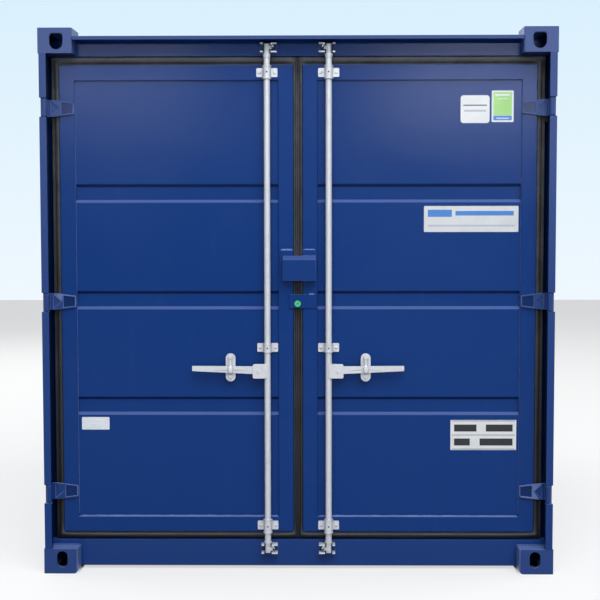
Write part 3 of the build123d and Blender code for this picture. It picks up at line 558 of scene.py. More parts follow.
def grid_faces(rows, columns, wrap_rows=False, wrap_columns=False):
    """Quads of a grid of rows by columns points, wrapped round in either direction."""
    row_count = rows if wrap_rows else rows - 1
    column_count = columns if wrap_columns else columns - 1
    row, column = np.meshgrid(np.arange(row_count), np.arange(column_count), indexing="ij")
    next_row = (row + 1) % rows
    next_column = (column + 1) % columns
    corners = [
        row * columns + column,
        row * columns + next_column,
        next_row * columns + next_column,
        next_row * columns + column,
    ]
    return np.stack(corners, axis=-1).reshape(-1, 4)


def join_parts(parts):
    """Many (points, faces) pairs as one pair; each part's faces are counted on."""
    points = np.concatenate([part[0] for part in parts])
    starts = np.cumsum([0] + [len(part[0]) for part in parts[:-1]])
    faces = []
    for (_, part_faces), start in zip(parts, starts):
        faces.extend([tuple(int(i) + int(start) for i in face) for face in part_faces])
    return points, faces


def weld_bead(start, end, radius, ripple):
    """A weld bead from start to end.

    The surface is a tube: around the line the angle runs through a full turn, and along it the
    radius dips by a sixth with every ripple, drifts a little and falls to nothing at the ends.
    """
    start, end = np.asarray(start, float), np.asarray(end, float)
    run = end - start
    length = np.linalg.norm(run)
    steps = max(8, int(length / ripple * 3))
    place = np.linspace(0.0, 1.0, steps)
    phase = place * length / ripple
    swell = 1.0 - 0.16 * np.abs(np.sin(np.pi * phase)) + 0.07 * np.sin(2.1 * phase + 1.3)
    taper = np.clip(np.minimum(place, 1.0 - place) * length / (1.5 * radius), 0.0, 1.0)
    reach = radius * swell * np.sqrt(taper * (2.0 - taper))
    centre = start + place[:, None] * run
    ring = ring_about(run / length, BEAD_TURNS)
    points = centre[:, None, :] + reach[:, None, None] * ring
    return points.reshape(-1, 3), grid_faces(steps, BEAD_TURNS, wrap_columns=True).tolist()


def dome(centre, axis, radius, height, rings=6, turns=20):
    """A rivet head: a flattened half ball on a short neck, turned round the axis.

    Ring k lies at the height times the sine of its share of a quarter turn, with the radius
    times the cosine; the first ring is repeated a little behind the face it sits on.
    """
    centre, axis = np.asarray(centre, float), np.asarray(axis, float)
    neck = 0.3 * height
    share = np.linspace(0.0, np.pi / 2, rings)[:-1]
    lift = np.concatenate([[-neck, 0.0], height * (0.15 + 0.85 * np.sin(share))])
    reach = np.concatenate([[radius, radius], radius * np.cos(share)])
    wall = centre + lift[:, None, None] * axis + reach[:, None, None] * ring_about(axis, turns)
    ends = [centre + height * axis, centre - neck * axis]
    faces = grid_faces(len(lift), turns, wrap_columns=True).tolist()
    tip = len(lift) * turns
    last = tip - turns
    faces += [(last + i, last + (i + 1) % turns, tip) for i in range(turns)]
    faces += [((i + 1) % turns, i, tip + 1) for i in range(turns)]
    return np.concatenate([wall.reshape(-1, 3), ends]), faces


def rounded_outline(width, height, radius, steps=6):
    """Points round a rectangle with round corners, counter-clockwise, about the origin."""
    angles = np.linspace(0.0, np.pi / 2, steps)
    corner = np.stack([np.cos(angles), np.sin(angles)], axis=1) * radius
    sides = [(1, 1), (-1, 1), (-1, -1), (1, -1)]
    parts = []
    for index, (x_side, y_side) in enumerate(sides):
        turned = corner @ np.linalg.matrix_power(np.array([[0, 1], [-1, 0]]), index)
        centre = np.array([x_side * (width / 2 - radius), y_side * (height / 2 - radius)])
        parts.append(centre + turned)
    return np.concatenate(parts)


def slab(low, high, face_y, thickness, radius):
    """A thin upright plate with round corners and a softly rounded front edge.

    Its outline is carried through five rings: two along the edge, then inwards by a share of
    the thickness, and the last ring is filled by a fan about the middle.
    """
    width, height = high[0] - low[0], high[1] - low[1]
    middle = np.array([(low[0] + high[0]) / 2, (low[1] + high[1]) / 2])
    insets = np.array([0.0, 0.0, 0.12, 0.6, 1.4]) * thickness
    lifts = np.array([0.0, 0.7, 0.93, 1.0, 1.0]) * thickness
    rings = []
    for inset, lift in zip(insets, lifts):
        outline = rounded_outline(width - 2 * inset, height - 2 * inset, radius)
        y = np.full(len(outline), face_y - lift)
        rings.append(np.stack([middle[0] + outline[:, 0], y, middle[1] + outline[:, 1]], axis=1))
    count = len(rings[0])
    points = np.concatenate(rings + [[(middle[0], face_y - thickness, middle[1])]])
    faces = grid_faces(len(rings), count, wrap_columns=True).tolist()
    last = (len(rings) - 1) * count
    tip = len(rings) * count
    faces += [(last + i, last + (i + 1) % count, tip) for i in range(count)]
    return points, faces


def softened(node, width, body, worn):
    """A copy of a CAD node with merged corners and rounded edges, which stands for it."""
    mesh = frame["nodes"][node].data.copy()
    shape = bmesh.new()
    shape.from_mesh(mesh)
    bmesh.ops.remove_doubles(shape, verts=shape.verts, dist=0.00002)
    bmesh.ops.dissolve_limit(
        shape, angle_limit=math.radians(0.6), verts=shape.verts, edges=shape.edges)
    shape.to_mesh(mesh)
    shape.free()
    mesh.polygons.foreach_set("use_smooth", np.full(len(mesh.polygons), True))
    mesh.set_sharp_from_angle(angle=SHARP_EDGE)
    made = bpy.data.objects.new(node + "_finished", mesh)
    bpy.context.scene.collection.objects.link(made)
    rounding = made.modifiers.new("rounded_edges", "BEVEL")
    rounding.width = width
    rounding.segments = 2
    rounding.limit_method = "ANGLE"
    rounding.angle_limit = SHARP_EDGE
    rounding.use_clamp_overlap = True
    flattened = made.modifiers.new("flat_faces", "WEIGHTED_NORMAL")
    flattened.keep_sharp = True
    flattened.weight = 100
    made.data.materials.clear()
    made.data.materials.append(finish(node_finish(node)))
    # The bevel faces take the edge paint, which shows wear and paints a highlight on the edges.
    if worn:
        made.data.materials.append(finish("worn edge"))
        rounding.material = 1
    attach(made, body)
    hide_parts(node)
    return made


def repaint(made, label, test):
    """Give another finish to those faces of a finished copy for which the test holds.

    The test gets the faces' middles and normals as two arrays and gives a true or false array.
    """
    mesh = made.data
    count = len(mesh.polygons)
    middles = np.empty(count * 3, np.float32)
    normals = np.empty(count * 3, np.float32)
    chosen = np.empty(count, np.int32)
    mesh.polygons.foreach_get("center", middles)
    mesh.polygons.foreach_get("normal", normals)
    mesh.polygons.foreach_get("material_index", chosen)
    mesh.materials.append(finish(label))
    chosen[test(middles.reshape(-1, 3), normals.reshape(-1, 3))] = len(mesh.materials) - 1
    mesh.polygons.foreach_set("material_index", chosen)


def inside_casting(middles, normals):
    """Faces of a corner casting's cavity, further from each outer plane than a wall: painted shade.
    """
    high = CAD_BOX[1]
    x_depth = high.x - np.abs(middles[:, 0])
    y_depth = high.y - np.abs(middles[:, 1])
    z_depth = np.minimum(middles[:, 2], high.z - middles[:, 2])
    across = (x_depth > CASTING_WALL) & (x_depth < CASTING[0] - CASTING_WALL)
    along = (y_depth > CASTING_WALL) & (y_depth < CASTING[1] - CASTING_WALL)
    return across & along & (z_depth > 0.002) & (z_depth < CASTING[2] - 0.004)


def front_lip(middles, normals):
    """Faces in the front plane, which take paler paint as painted light."""
    return middles[:, 1] < FRONT + 0.0035


def keeper_back(middles, normals):
    """Faces of the keepers' back plates."""
    return middles[:, 1] > FRONT + 0.0875


def behind_strip(middles, normals):
    """Front post faces looking inwards or ahead, behind the strip along the edge: painted shade."""
    inwards = normals[:, 0] * middles[:, 0] < -0.6 * np.abs(middles[:, 0])
    ahead = (normals[:, 1] < -0.6) & (middles[:, 1] > FRONT + 0.05)
    near = (middles[:, 1] > FRONT + 0.0035) & (middles[:, 1] < FRONT + 0.18)
    return (inwards | ahead) & near


def on_the_blades(middles):
    """Faces of the hinge blades that lie over the door."""
    door_edge = abs(node_box("left_door_frame")[0][0])
    return np.abs(middles[:, 0]) < door_edge - 0.0097


def blade_recess(middles, normals):
    """The sunk faces between the ribs of the hinge blades, darkened as painted shade."""
    deep = (middles[:, 1] > FRONT + 0.0765) & (normals[:, 1] < -0.5)
    return deep & on_the_blades(middles)


def blade_ribs(middles, normals):
    """The front faces of the hinge blades' ribs: rubbed paint and a painted highlight."""
    return (middles[:, 1] < FRONT + 0.0755) & on_the_blades(middles)


def on_the_door(middles, normals):
    """Faces close to the door's sheet."""
    return middles[:, 1] > FRONT + 0.0905


def highlit_and_worn_side(middles, normals):
    """Inner upright edges of the lower castings, close to the front: wear and painted highlight."""
    inner = np.abs(middles[:, 0]) < CASTING_END + 0.0055
    return inner & (middles[:, 1] < FRONT + 0.10) & (middles[:, 2] < CASTING[2] - 0.001)


REPAINTED = {
    "left_handle_posts": (("paint", on_the_door),),
    "right_handle_posts": (("paint", on_the_door),),
    "left_front_post": (("jamb paint", behind_strip),),
    "right_front_post": (("jamb paint", behind_strip),),
    "bottom_castings": (("hidden paint", inside_casting), ("worn edge", highlit_and_worn_side)),
    "top_castings": (("hidden paint", inside_casting),),
    # Painted light: the header's lip takes the paler frame paint.
    "door_header": (("frame paint", front_lip),),
    "cam_keepers": (("paint", keeper_back),),
    "left_hinge_leaves": (("worn edge", blade_ribs), ("recess paint", blade_recess)),
    "right_hinge_leaves": (("worn edge", blade_ribs), ("recess paint", blade_recess)),
}


def node_slot(node):
    """The record's material slot of a CAD node."""
    entries = {entry["node"]: entry["material_slot"] for entry in frame["record"]["subparts"]}
    return entries[node]


def node_finish(node):
    """The finish of a CAD node: its slot, or a paler paint on the frame and the castings."""
    # The frame and casting paints grow paler towards the top as painted light.
    if "castings" in node:
        return "casting paint"
    if "front_post" in node or "hinge_leaves" in node:
        return "frame paint"
    if node == "door_sill":
        return "sill paint"
    if node == "right_lock_box":
        return "box paint"
    return node_slot(node)


def body_of_node(node):
    """The body that a CAD node belongs to."""
    for body, members in frame["record"]["behaviour"]["bodies"].items():
        if node in members:
            return body
    raise RuntimeError(f"{node} is on no body")


class CONTAINER_OT_solids(bpy.types.Operator):
    """Give every CAD node its finish, and round the edges of the plates and the gear"""

    bl_idname = "container.finish_solids"
    bl_label = "Finish the solids"

    def execute(self, context):
        sizes = context.scene.container_sizes
        # These are thin sheet, lie hidden, or get a shape of their own in a later step
        plain = {"floor", "left_side_wall", "right_side_wall", "rear_wall", "cross_members",
                 "fork_pockets", "hinge_pins", "left_door_gasket", "right_door_gasket",
                 "left_handle_catch", "right_handle_catch"}
        wide = ("castings", "hinge_leaves", "lock_box", "front_post")
        for node, made in frame["nodes"].items():
            made.data.materials.clear()
            made.data.materials.append(finish(node_finish(node)))
            if node in plain:
                continue
            width = sizes.gear_edge if node_slot(node) == "galvanised" else sizes.soft_edge
            # Castings, hinges, lock box and posts get wider rounding and the edge paint with its
            # painted highlight.
            worn = any(word in node for word in wide)
            if worn:
                width = sizes.worn_edge
            copy = softened(node, width, body_of_node(node), worn)
            for label, test in REPAINTED.get(node, ()):
                repaint(copy, label, test)
        return {"FINISHED"}


GASKET_RISES = {
    "side": ([0.0, 0.10, 0.34, 0.42, 0.56, 0.72, 0.84, 0.93, 1.0],
             [0.010, 0.011, 0.0125, 0.0240, 0.0310, 0.0345, 0.0350, 0.0330, 0.0280]),
    "upper": ([0.0, 0.05, 0.12, 0.28, 0.46, 0.60, 0.70, 0.80, 0.90, 1.0],
              [0.0275, 0.0300, 0.0325, 0.0350, 0.0345, 0.0320, 0.0265, 0.0228, 0.0220, 0.0220]),
    "lower": ([0.0, 0.12, 0.30, 0.46, 0.56, 0.70, 0.85, 1.0],
              [0.0150, 0.0200, 0.0300, 0.0347, 0.0350, 0.0325, 0.0270, 0.0215]),
}


def gasket_ring(low, high, widths, back):
    """A gasket round a door: a profile carried along a rectangle, mitred at its corners.

    low and high are the outer corners in X and Z; widths are the ring's width at its left,
    right, lower and upper side; back is the depth of its back. Along each side the points keep
    their share of the width. A profile says how far the face stands before its back for shares
    of the width: at the sides it climbs from a deep outer fin to a round crest beside the door,
    above it climbs at once and falls away to a valley, below its crest is in the middle. At a
    corner the two sides' profiles are averaged.
    """
    face = np.linspace(0.0, 1.0, 25)
    shares = np.concatenate([face, [1.0, 0.5, 0.0]])
    rises = {name: np.concatenate([np.interp(face, *points), [0.002, 0.0, 0.002]])
             for name, points in GASKET_RISES.items()}
    left, right, lower, upper = widths
    along = np.linspace(0.0, 1.0, 40, endpoint=False)[:, None]
    x_low = low[0] + shares * left
    x_high = high[0] - shares * right
    z_low = low[1] + shares * lower
    z_high = high[1] - shares * upper
    corners = [(x_low, z_low), (x_high, z_low), (x_high, z_high), (x_low, z_high)]
    order = [rises["lower"], rises["side"], rises["upper"], rises["side"]]
    rows = []
    for index in range(4):
        here, there = corners[index], corners[(index + 1) % 4]
        x = here[0] * (1 - along) + there[0] * along
        z = here[1] * (1 - along) + there[1] * along
        rise = np.repeat(order[index][None, :], len(along), axis=0)
        rise[0] = (order[index - 1] + order[index]) / 2
        rows.append(np.stack([x, back - rise, z], axis=-1))
    return np.concatenate(rows)


class CONTAINER_OT_gaskets(bpy.types.Operator):
    """Make the rubber gasket round each door"""

    bl_idname = "container.gaskets"
    bl_label = "Make the gaskets"

    def execute(self, context):
        sizes = context.scene.container_sizes
        for name, side in SIDES.items():
            node = f"{name}_door_gasket"
            low, high = node_box(node)
            frame_low, frame_high = node_box(f"{name}_door_frame")
            low[2] -= sizes.gasket_seat
            high[2] += sizes.gasket_seat
            if side < 0:
                low[0] -= sizes.gasket_fin
            else:
                high[0] += sizes.gasket_fin
                low[0] -= sizes.gasket_lap
            seat = 0.0003
            widths = (frame_low[0] - low[0] - seat, high[0] - frame_high[0] - seat,
                      frame_low[2] - low[2] - seat, high[2] - frame_high[2] - seat)
            points = gasket_ring((low[0], low[2]), (high[0], high[2]), widths, high[1])
            rows, columns = points.shape[:2]
            faces = grid_faces(rows, columns, wrap_rows=True, wrap_columns=True)[:, ::-1]
            made = make_mesh(node + "_rubber", points.reshape(-1, 3), faces, ["gasket"])
            made.data.set_sharp_from_angle(angle=math.radians(50))
            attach(made, f"{name}_door")
            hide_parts(node)
        return {"FINISHED"}


class CONTAINER_OT_welds(bpy.types.Operator):
    """Lay the weld beads where castings, posts, header, sill and hinges meet"""

    bl_idname = "container.welds"
    bl_label = "Lay the welds"

    def execute(self, context):
        sizes = context.scene.container_sizes
        post_low, post_high = node_box("left_front_post")
        header_top = node_box("door_header")[1][2]
        proud = FRONT + 1.1 * sizes.weld_radius
        seam = FRONT + 0.094
        strip_width, lip_height = 0.0335, 0.018
        beads = []
        for side in (-1, 1):
            edge = side * CASTING_END
            face = side * abs(post_low[0])
            strip = face - side * strip_width
            for level in (post_low[2], post_high[2]):
                beads.append(((face, proud, level), (strip, proud, level)))
                beads.append(((face, FRONT + 0.01, level), (face, FRONT + 0.17, level)))
            lip = header_top - lip_height
            beads.append(((edge, proud, lip), (edge, proud, header_top)))
            beads.append(((edge, seam, 0.016), (edge, seam, CASTING[2])))
            beads.append(((edge, seam, CASTING[2]), (side * 1.205, seam, CASTING[2])))
            beads.append(((edge, seam, 2.475), (edge, seam, 2.545)))
        parts = [weld_bead(*bead, sizes.weld_radius, sizes.weld_ripple) for bead in beads]
        made = make_mesh("frame_welds", *join_parts(parts), ["paint"])
        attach(made, "box")
        self.hole_corners()
        self.door_welds(sizes)
        return {"FINISHED"}

    def hole_corners(self):
        """The round upper corners of the upper castings' end holes."""
        fillers = []
        for side in (-1, 1):
            for y_side in (-1, 1):
                depths = [y_side * (CAD_BOX[1].y - depth) for depth in (0.0022, 0.0135)]
                for way in (-1, 1):
                    corner = (side * END_HOLE_X + way * END_HOLE_HALF, END_HOLE_TOP)
                    fillers.append(corner_filler(corner, way, END_HOLE_ROUND, *depths))
        made = make_mesh("casting_hole_corners", *join_parts(fillers), ["casting paint"], False)
        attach(made, "box")

    def door_welds(self, sizes):
        """The seams of the hinge leaves, the panels and the lock plates."""
        ripple = sizes.weld_ripple
        for name, side in SIDES.items():
            low, high = node_box(f"{name}_door_panel")
            tip, half = side * 1.070, 0.028
            parts = []
            for middle in HINGE_LEVELS:
                ends = (tip, DOOR_FACE, middle - half), (tip, DOOR_FACE, middle + half)
                parts.append(weld_bead(*ends, sizes.weld_radius, ripple))
            depth = low[1] - 0.002
            ledge = (low[0] + 0.002, depth, low[2]), (high[0] - 0.002, depth, low[2])
            parts.append(weld_bead(*ledge, sizes.ledge_radius, 5 * ripple))
            x = low[0] if side < 0 else high[0]
            run = (x, low[1], low[2] + 0.01), (x, low[1], high[2] - 0.01)
            parts.append(weld_bead(*run, 0.0016, 3 * ripple))
            # The seams take the edge paint, so they show wear and a painted highlight.
            made = make_mesh(f"{name}_door_seams", *join_parts(parts), ["worn edge"])
            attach(made, f"{name}_door")
        bracket_low, bracket_high = node_box("left_lock_bracket")
        lap_high = node_box("right_overlap_plate")[1]
        y = DOOR_FACE - 0.003
        spans = {
            "left_bracket_weld": ("left_door", bracket_low[0], bracket_high[0], bracket_high[2]),
            "right_bracket_weld": ("right_door", 0.0228, lap_high[0], bracket_high[2]),
            "overlap_weld": ("right_door", 0.046, lap_high[0] - 0.004, lap_high[2]),
        }
        for name, (body, x_low, x_high, z) in spans.items():
            bead = weld_bead((x_low + 0.003, y, z), (x_high - 0.002, y, z), 0.0062, ripple)
            # These welds take the edge paint, so they show wear and a painted highlight.
            made = make_mesh(name, *bead, ["worn edge"])
            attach(made, body)


class CONTAINER_OT_rivets(bpy.types.Operator):
    """Set the rivets, the end rings and the grease marks of the bar guides"""

    bl_idname = "container.rivets"
    bl_label = "Finish the bar guides"

    def execute(self, context):
        sizes = context.scene.container_sizes
        front_way = (0.0, -1.0, 0.0)
        upward = (0.0, 0.0, 1.0)
        ring = band(SLEEVE_RADIUS - 0.001, SLEEVE_RADIUS + 0.0018, 0.003, 0.0006, 0.001)
        collar = band(0.0145, 0.0180, 0.004, 0.0008, 0.001)
        for name, side in SIDES.items():
            parts, marks = [], []
            axis = side * BAR_X
            for level, depth, half in GUIDES:
                for ear in (-1, 1):
                    centre = (axis + ear * 0.036, depth - 0.008, level)
                    parts.append(dome(centre, front_way, sizes.rivet_radius, 0.0038))
                for end in (-1, 1):
                    centre = (axis, BAR_Y, level + end * (half - 0.003))
                    parts.append(lathe(ring, centre, upward))
                hole = (axis, BAR_Y - SLEEVE_RADIUS, level)
                marks.append(dome(hole, front_way, sizes.grease_mark, 0.0006))
            collars = [lathe(collar, (axis, BAR_Y, level), upward) for level in COLLAR_LEVELS]
            made = make_mesh(f"{name}_bar_collars", *join_parts(collars), ["galvanised"])
            made.data.set_sharp_from_angle(angle=math.radians(35))
            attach(made, f"{name}_bar")
            made = make_mesh(f"{name}_guide_rivets", *join_parts(parts), ["galvanised"])
            made.data.set_sharp_from_angle(angle=math.radians(35))
            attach(made, f"{name}_door")
            made = make_mesh(f"{name}_grease_marks", *join_parts(marks), ["ink"])
            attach(made, f"{name}_door")
        return {"FINISHED"}


def tongue(x, top, tip, back, depth):
    """The catch's tongue: a narrow strap that ends in a round nose over the handle.

    The nose is an ellipse about a centre near the tip; above it the half width and the rise
    don't fall below the strap's. Each section is half an ellipse with a flat back.
    """
    nose_reach, nose_half = 0.0195, 0.0130
    strap_half, strap_rise = 0.0066, 0.0040
    share = 0.5 - 0.5 * np.cos(np.linspace(0.0, np.pi, 48))
    z = top + (tip - top) * share
    nose = np.sqrt(np.clip(1.0 - ((z - tip - nose_reach) / nose_reach) ** 2, 0.0, 1.0))
    strap = np.where(z > tip + nose_reach, 1.0, 0.0)
    half = np.maximum(nose_half * nose, strap_half * strap)
    rise = np.maximum(depth * nose ** 0.45, strap_rise * strap)
    turn = np.linspace(0.0, np.pi, 15)
    across = x + half[:, None] * np.cos(turn)
    y = back - rise[:, None] * np.sin(turn) ** 0.45
    points = np.stack([across, y, np.broadcast_to(z[:, None], across.shape)], axis=-1)
    middle = np.stack([np.full_like(z, x), np.full_like(z, back), z], axis=-1)[:, None, :]
    points = np.concatenate([points, middle], axis=1)
    rows, columns = points.shape[:2]
    faces = grid_faces(rows, columns, wrap_columns=True).tolist()
    faces.append(tuple(range(columns - 1, -1, -1)))
    return points.reshape(-1, 3), faces


def corner_filler(corner, x_way, radius, y_low, y_high):
    """A prism that rounds one upper corner of a hole.

    Its outline runs from just outside the corner along the arc of a circle that touches both
    edges of the hole; the two outlines, front and back, are joined by quads.
    """
    turn = np.linspace(0.0, np.pi / 2, 9)
    x = corner[0] - x_way * radius * (1.0 - np.cos(turn))
    z = corner[1] - radius * (1.0 - np.sin(turn))
    reach = 0.0012
    x = np.concatenate([x, [corner[0] - x_way * radius, corner[0] + x_way * reach,
                            corner[0] + x_way * reach]])
    z = np.concatenate([z, [corner[1] + reach, corner[1] + reach, corner[1] - radius]])
    rows = [np.stack([x, np.full_like(x, y), z], axis=-1) for y in (y_low, y_high)]
    count = len(x)
    faces = [((i + 1) % count, i, count + i, count + (i + 1) % count) for i in range(count)]
    faces.append(tuple(range(count)))
    faces.append(tuple(range(2 * count - 1, count - 1, -1)))
    if x_way * np.sign(y_low - y_high) > 0:
        faces = [face[::-1] for face in faces]
    return np.concatenate(rows), faces


class CONTAINER_OT_catches(bpy.types.Operator):
    """Shape the catch over each handle"""

    bl_idname = "container.catches"
    bl_label = "Shape the catches"

    def execute(self, context):
        for name in SIDES:
            node = f"{name}_handle_catch"
            low, high = node_box(node)
            x = (low[0] + high[0]) / 2
            reach = (high[0] - low[0]) / 2
            pivot = high[2] - reach
            back = FRONT + 0.046
            boss = [(0.0062, 0.0), (0.0090, 0.0), (0.0090, 0.0207), (0.0110, 0.0212),
                    (0.0110, 0.0240), (0.0104, 0.0246), (0.0062, 0.0246)]
            parts = [
                lathe(boss, (x, high[1], pivot), (0.0, -1.0, 0.0)),
                tongue(x, pivot - 0.0085, low[2], back, back - low[1]),
            ]
            made = make_mesh(node + "_shaped", *join_parts(parts), ["galvanised"])
            made.data.set_sharp_from_angle(angle=math.radians(50))
            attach(made, f"{name}_catch")
            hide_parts(node)
        return {"FINISHED"}


class CONTAINER_OT_labels(bpy.types.Operator):
    """Put the plain labels and plates on the doors"""

    bl_idname = "container.labels"
    bl_label = "Put on the labels"

    def execute(self, context):
        sizes = context.scene.container_sizes
        thick = sizes.label_thickness
        face = FIELD_FACE - LABEL_GAP
        white = [
            ("right_long_label", "right", (0.602, 1.6337), (1.0527, 1.7578), "dull film", 0.004),
            ("right_round_label", "right", (0.7736, 2.151), (0.9112, 2.282), "white film", 0.014),
            ("right_green_label", "right", (0.9209, 2.1555), (1.0251, 2.3042), "white film", 0.004),
            ("right_weight_plate", "right", (0.7345, 0.5821), (1.0513, 0.7279), "white film",
             0.002),
            ("left_small_plate", "left", (-1.0469, 0.6805), (-0.9137, 0.7414), "small plate",
             0.004),
        ]
        for name, side, low, high, label, radius in white:
            made = make_mesh(
                name, *slab(low, high, face, thick, radius), [label], smooth=False)
            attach(made, f"{side}_door")
        on_top = face - thick
        marks = [
            ("right_long_label_bar", (0.620, 1.706), (0.735, 1.740), "blue film"),
            ("right_long_label_bar_2", (0.752, 1.712), (1.030, 1.734), "blue film"),
            ("right_long_label_rule", (0.620, 1.660), (1.035, 1.668), "grey film"),
            ("right_round_label_rule", (0.786, 2.2325), (0.899, 2.2375), "ink"),
            ("right_round_label_stripe", (0.790, 2.204), (0.895, 2.214), "grey film"),
            ("right_green_label_field", (0.929, 2.1875), (1.017, 2.2962), "green film"),
            ("right_green_label_foot", (0.929, 2.1635), (1.017, 2.1855), "blue film"),
            ("right_weight_plate_rule_1", (0.742, 0.722), (1.044, 0.7245), "ink"),
            ("right_weight_plate_rule_2", (0.742, 0.6538), (1.044, 0.6562), "ink"),
            ("right_weight_plate_rule_3", (0.742, 0.5855), (1.044, 0.588), "ink"),
            ("right_weight_plate_bar_1", (0.752, 0.672), (0.860, 0.706), "ink"),
            ("right_weight_plate_bar_2", (0.905, 0.672), (1.034, 0.706), "ink"),
            ("right_weight_plate_bar_3", (0.752, 0.604), (0.828, 0.638), "ink"),
            ("right_weight_plate_bar_4", (0.875, 0.604), (1.034, 0.638), "ink"),
        ]
        stripes = [
            ("right_green_label_stripe", (0.944, 2.1710), (1.002, 2.1755), "white film"),
            ("right_green_label_stripe_2", (0.938, 2.2790), (1.008, 2.2875), "white film"),
            ("right_green_label_stripe_3", (0.950, 2.2640), (0.996, 2.2680), "white film"),
        ]
        for level, layer in enumerate((marks, stripes)):
            for name, low, high, label in layer:
                mark = slab(low, high, on_top - 0.0001 * level, 0.0001, 0.0008)
                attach(make_mesh(name, *mark, [label], smooth=False), "right_door")
        return {"FINISHED"}


def aim(place, target):
    """The turn that makes a lamp at place look at target."""
    return (Vector(target) - Vector(place)).to_track_quat("-Z", "Y").to_euler()


def soft_lamp(name, place, target, width, height, power, colour=(1.0, 1.0, 1.0)):
    """A large rectangular lamp."""
    data = bpy.data.lights.new(name, "AREA")
    data.shape = "RECTANGLE"
    data.size = width
    data.size_y = height
    data.energy = power
    data.color = colour
    lamp = bpy.data.objects.new(name, data)
    lamp.location = place
    lamp.rotation_euler = aim(place, target)
    lamp.visible_camera = False
    bpy.context.scene.collection.objects.link(lamp)
    return lamp


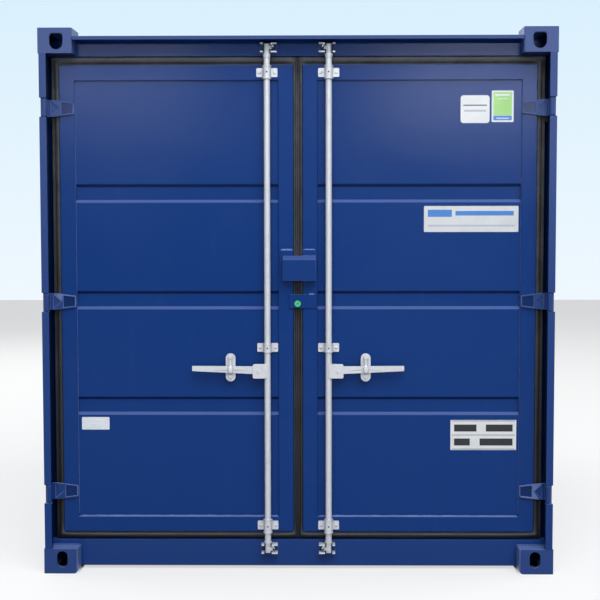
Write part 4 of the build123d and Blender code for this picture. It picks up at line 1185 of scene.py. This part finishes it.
class CONTAINER_OT_stage(bpy.types.Operator):
    """Make the floor, the light and the camera"""

    bl_idname = "container.stage"
    bl_label = "Make the stage"

    def execute(self, context):
        settings = context.scene.container_camera
        self.floor(settings)
        self.sky(settings)
        aim_at = (0.0, FRONT, 1.3)
        soft_lamp("key_lamp", (1.6, -7.2, 8.4), aim_at, 10.0, 7.0, settings.key)
        for name, x, width, share in (("left", -2.2, 1.8, 0.30), ("right", 2.0, 2.2, 0.58)):
            place = (x, -10.5, 3.30)
            soft_lamp(f"{name}_glow_lamp", place, aim_at, width, 0.3, share * settings.glow)
        soft_lamp("back_lamp", (-3.0, 8.5, 6.5), (0, 1.4, 1.2), 8.0, 5.0, settings.back)
        soft_lamp("side_lamp", (9.0, 1.5, 6.0), (1.2, 0, 1.2), 6.0, 5.0, settings.back)
        soft_lamp("far_side_lamp", (-9.0, 1.5, 6.0), (-1.2, 0, 1.2), 6.0, 5.0, settings.back)
        self.camera(context, settings)
        context.scene.view_settings.view_transform = "Standard"
        return {"FINISHED"}

    def seen(self, nodes):
        """One for camera, glossy and transmitted rays, nothing for the rest."""
        path = nodes.node("ShaderNodeLightPath").outputs
        either = nodes.maths("MAXIMUM", path["Is Camera Ray"], path["Is Glossy Ray"])
        return nodes.maths("MAXIMUM", either, path["Is Transmission Ray"])

    def beside_footprint(self, nodes):
        """Nothing on the ground under the container, one beside it, soft between the two.
        Cutting the floor's glow there paints a shadow under the container.

        Between the castings the dark patch starts further back, behind the sill.
        """
        across = nodes.maths("ABSOLUTE", nodes.axis("X"))
        along = nodes.maths("ABSOLUTE", nodes.axis("Y"))
        under_castings = nodes.maths("GREATER_THAN", across, 1.052)
        ahead = nodes.maths("MULTIPLY", under_castings, 0.160)
        along = nodes.maths("SUBTRACT", along, ahead)
        half_x, half_y = CAD_BOX[1].x, CAD_BOX[1].y
        return nodes.maths(
            "MAXIMUM", nodes.ramp(across, half_x - 0.06, half_x - 0.01, smooth=False),
            nodes.ramp(along, half_y - 0.30, half_y - 0.17, smooth=False))

    def floor(self, settings):
        """A wide flat sheet, pale to the eye and duller to the light that it gives back."""
        reach, count = 60.0, 9
        x, y = np.meshgrid(
            np.linspace(-reach, reach, count), np.linspace(-reach, settings.floor_end, count),
            indexing="ij")
        points = np.stack([x, y, np.zeros_like(x)], axis=-1).reshape(-1, 3)
        floor = bpy.data.objects.new("floor_sheet", bpy.data.meshes.new("floor_sheet"))
        floor.data.from_pydata(points.tolist(), [], grid_faces(count, count).tolist())
        ground = Finish("pale_floor", roughness=0.95, specular=0.0)
        sockets = ground.shader.inputs
        shade = settings.floor_shade
        sockets["Base Color"].default_value = (shade, shade, 0.99 * shade, 1.0)
        sockets["Emission Color"].default_value = (1.0, 1.0, 1.0, 1.0)
        strength = ground.maths("MULTIPLY", self.seen(ground), settings.floor_glow)
        strength = ground.maths("MULTIPLY", strength, self.beside_footprint(ground))
        ground.join(strength, sockets["Emission Strength"])
        floor.data.materials.append(ground.material)
        bpy.context.scene.collection.objects.link(floor)

    def sky(self, settings):
        """Even light from all round, which the camera and glossy surfaces see brighter."""
        world = bpy.data.worlds.new("studio")
        bpy.context.scene.world = world
        world.use_nodes = True
        nodes = Nodes(world.node_tree)
        background = nodes.tree.nodes["Background"]
        height = nodes.axis("Z", nodes.node("ShaderNodeTexCoord").outputs["Generated"])
        rise = nodes.ramp(height, -0.06, 0.17, smooth=False)
        tint = nodes.mix(rise, (0.865, 0.94, 1.0), (0.70, 0.87, 0.985))
        nodes.join(tint, background.inputs["Color"])
        strength = nodes.ramp(self.seen(nodes), 0.0, 1.0, settings.sky, 1.0, smooth=False)
        nodes.join(strength, background.inputs["Strength"])

    def camera(self, context, settings):
        """The camera at the photograph's viewing angle."""
        data = bpy.data.cameras.new("camera")
        data.sensor_width = 36.0
        data.lens = settings.lens
        made = bpy.data.objects.new("camera", data)
        yaw, pitch, roll = settings.yaw, settings.pitch, settings.roll
        forward = Vector((math.sin(yaw) * math.cos(pitch), math.cos(yaw) * math.cos(pitch),
                          -math.sin(pitch)))
        level = Vector((math.cos(yaw), -math.sin(yaw), 0.0))
        upward = level.cross(forward)
        right = math.cos(roll) * level + math.sin(roll) * upward
        above = -math.sin(roll) * level + math.cos(roll) * upward
        turn = Matrix((right, above, -forward)).transposed()
        made.matrix_world = Matrix.Translation(Vector(settings.place)) @ turn.to_4x4()
        context.scene.collection.objects.link(made)
        context.scene.camera = made


class CONTAINER_PT_finish(bpy.types.Panel):
    """The container's sizes, colours and steps"""

    bl_idname = "CONTAINER_PT_finish"
    bl_label = "Container"
    bl_space_type = "VIEW_3D"
    bl_region_type = "UI"
    bl_category = "Container"

    def draw(self, context):
        for owner in (context.scene.container_colours, context.scene.container_sizes,
                      context.scene.container_camera):
            box = self.layout.box()
            for name in owner.__annotations__:
                box.prop(owner, name)
        for step in STEPS:
            self.layout.operator(step.bl_idname)


STEPS = (
    CONTAINER_OT_solids,
    CONTAINER_OT_gaskets,
    CONTAINER_OT_welds,
    CONTAINER_OT_rivets,
    CONTAINER_OT_catches,
    CONTAINER_OT_labels,
    CONTAINER_OT_stage,
)
GROUPS = {
    "container_colours": ContainerColours,
    "container_sizes": ContainerSizes,
    "container_camera": ContainerCamera,
}


def register():
    """Register the groups, the steps and the panel."""
    for name, owner in GROUPS.items():
        bpy.utils.register_class(owner)
        setattr(bpy.types.Scene, name, bpy.props.PointerProperty(type=owner))
    for step in STEPS:
        bpy.utils.register_class(step)
    bpy.utils.register_class(CONTAINER_PT_finish)


def unregister():
    """Take the panel, the steps and the groups out again."""
    bpy.utils.unregister_class(CONTAINER_PT_finish)
    for step in reversed(STEPS):
        bpy.utils.unregister_class(step)
    for name, owner in GROUPS.items():
        delattr(bpy.types.Scene, name)
        bpy.utils.unregister_class(owner)


def main():
    """Run every step in order."""
    register()
    bpy.ops.container.finish_solids()
    bpy.ops.container.gaskets()
    bpy.ops.container.welds()
    bpy.ops.container.rivets()
    bpy.ops.container.catches()
    bpy.ops.container.labels()
    bpy.ops.container.stage()


if __name__ == "__main__":
    main()
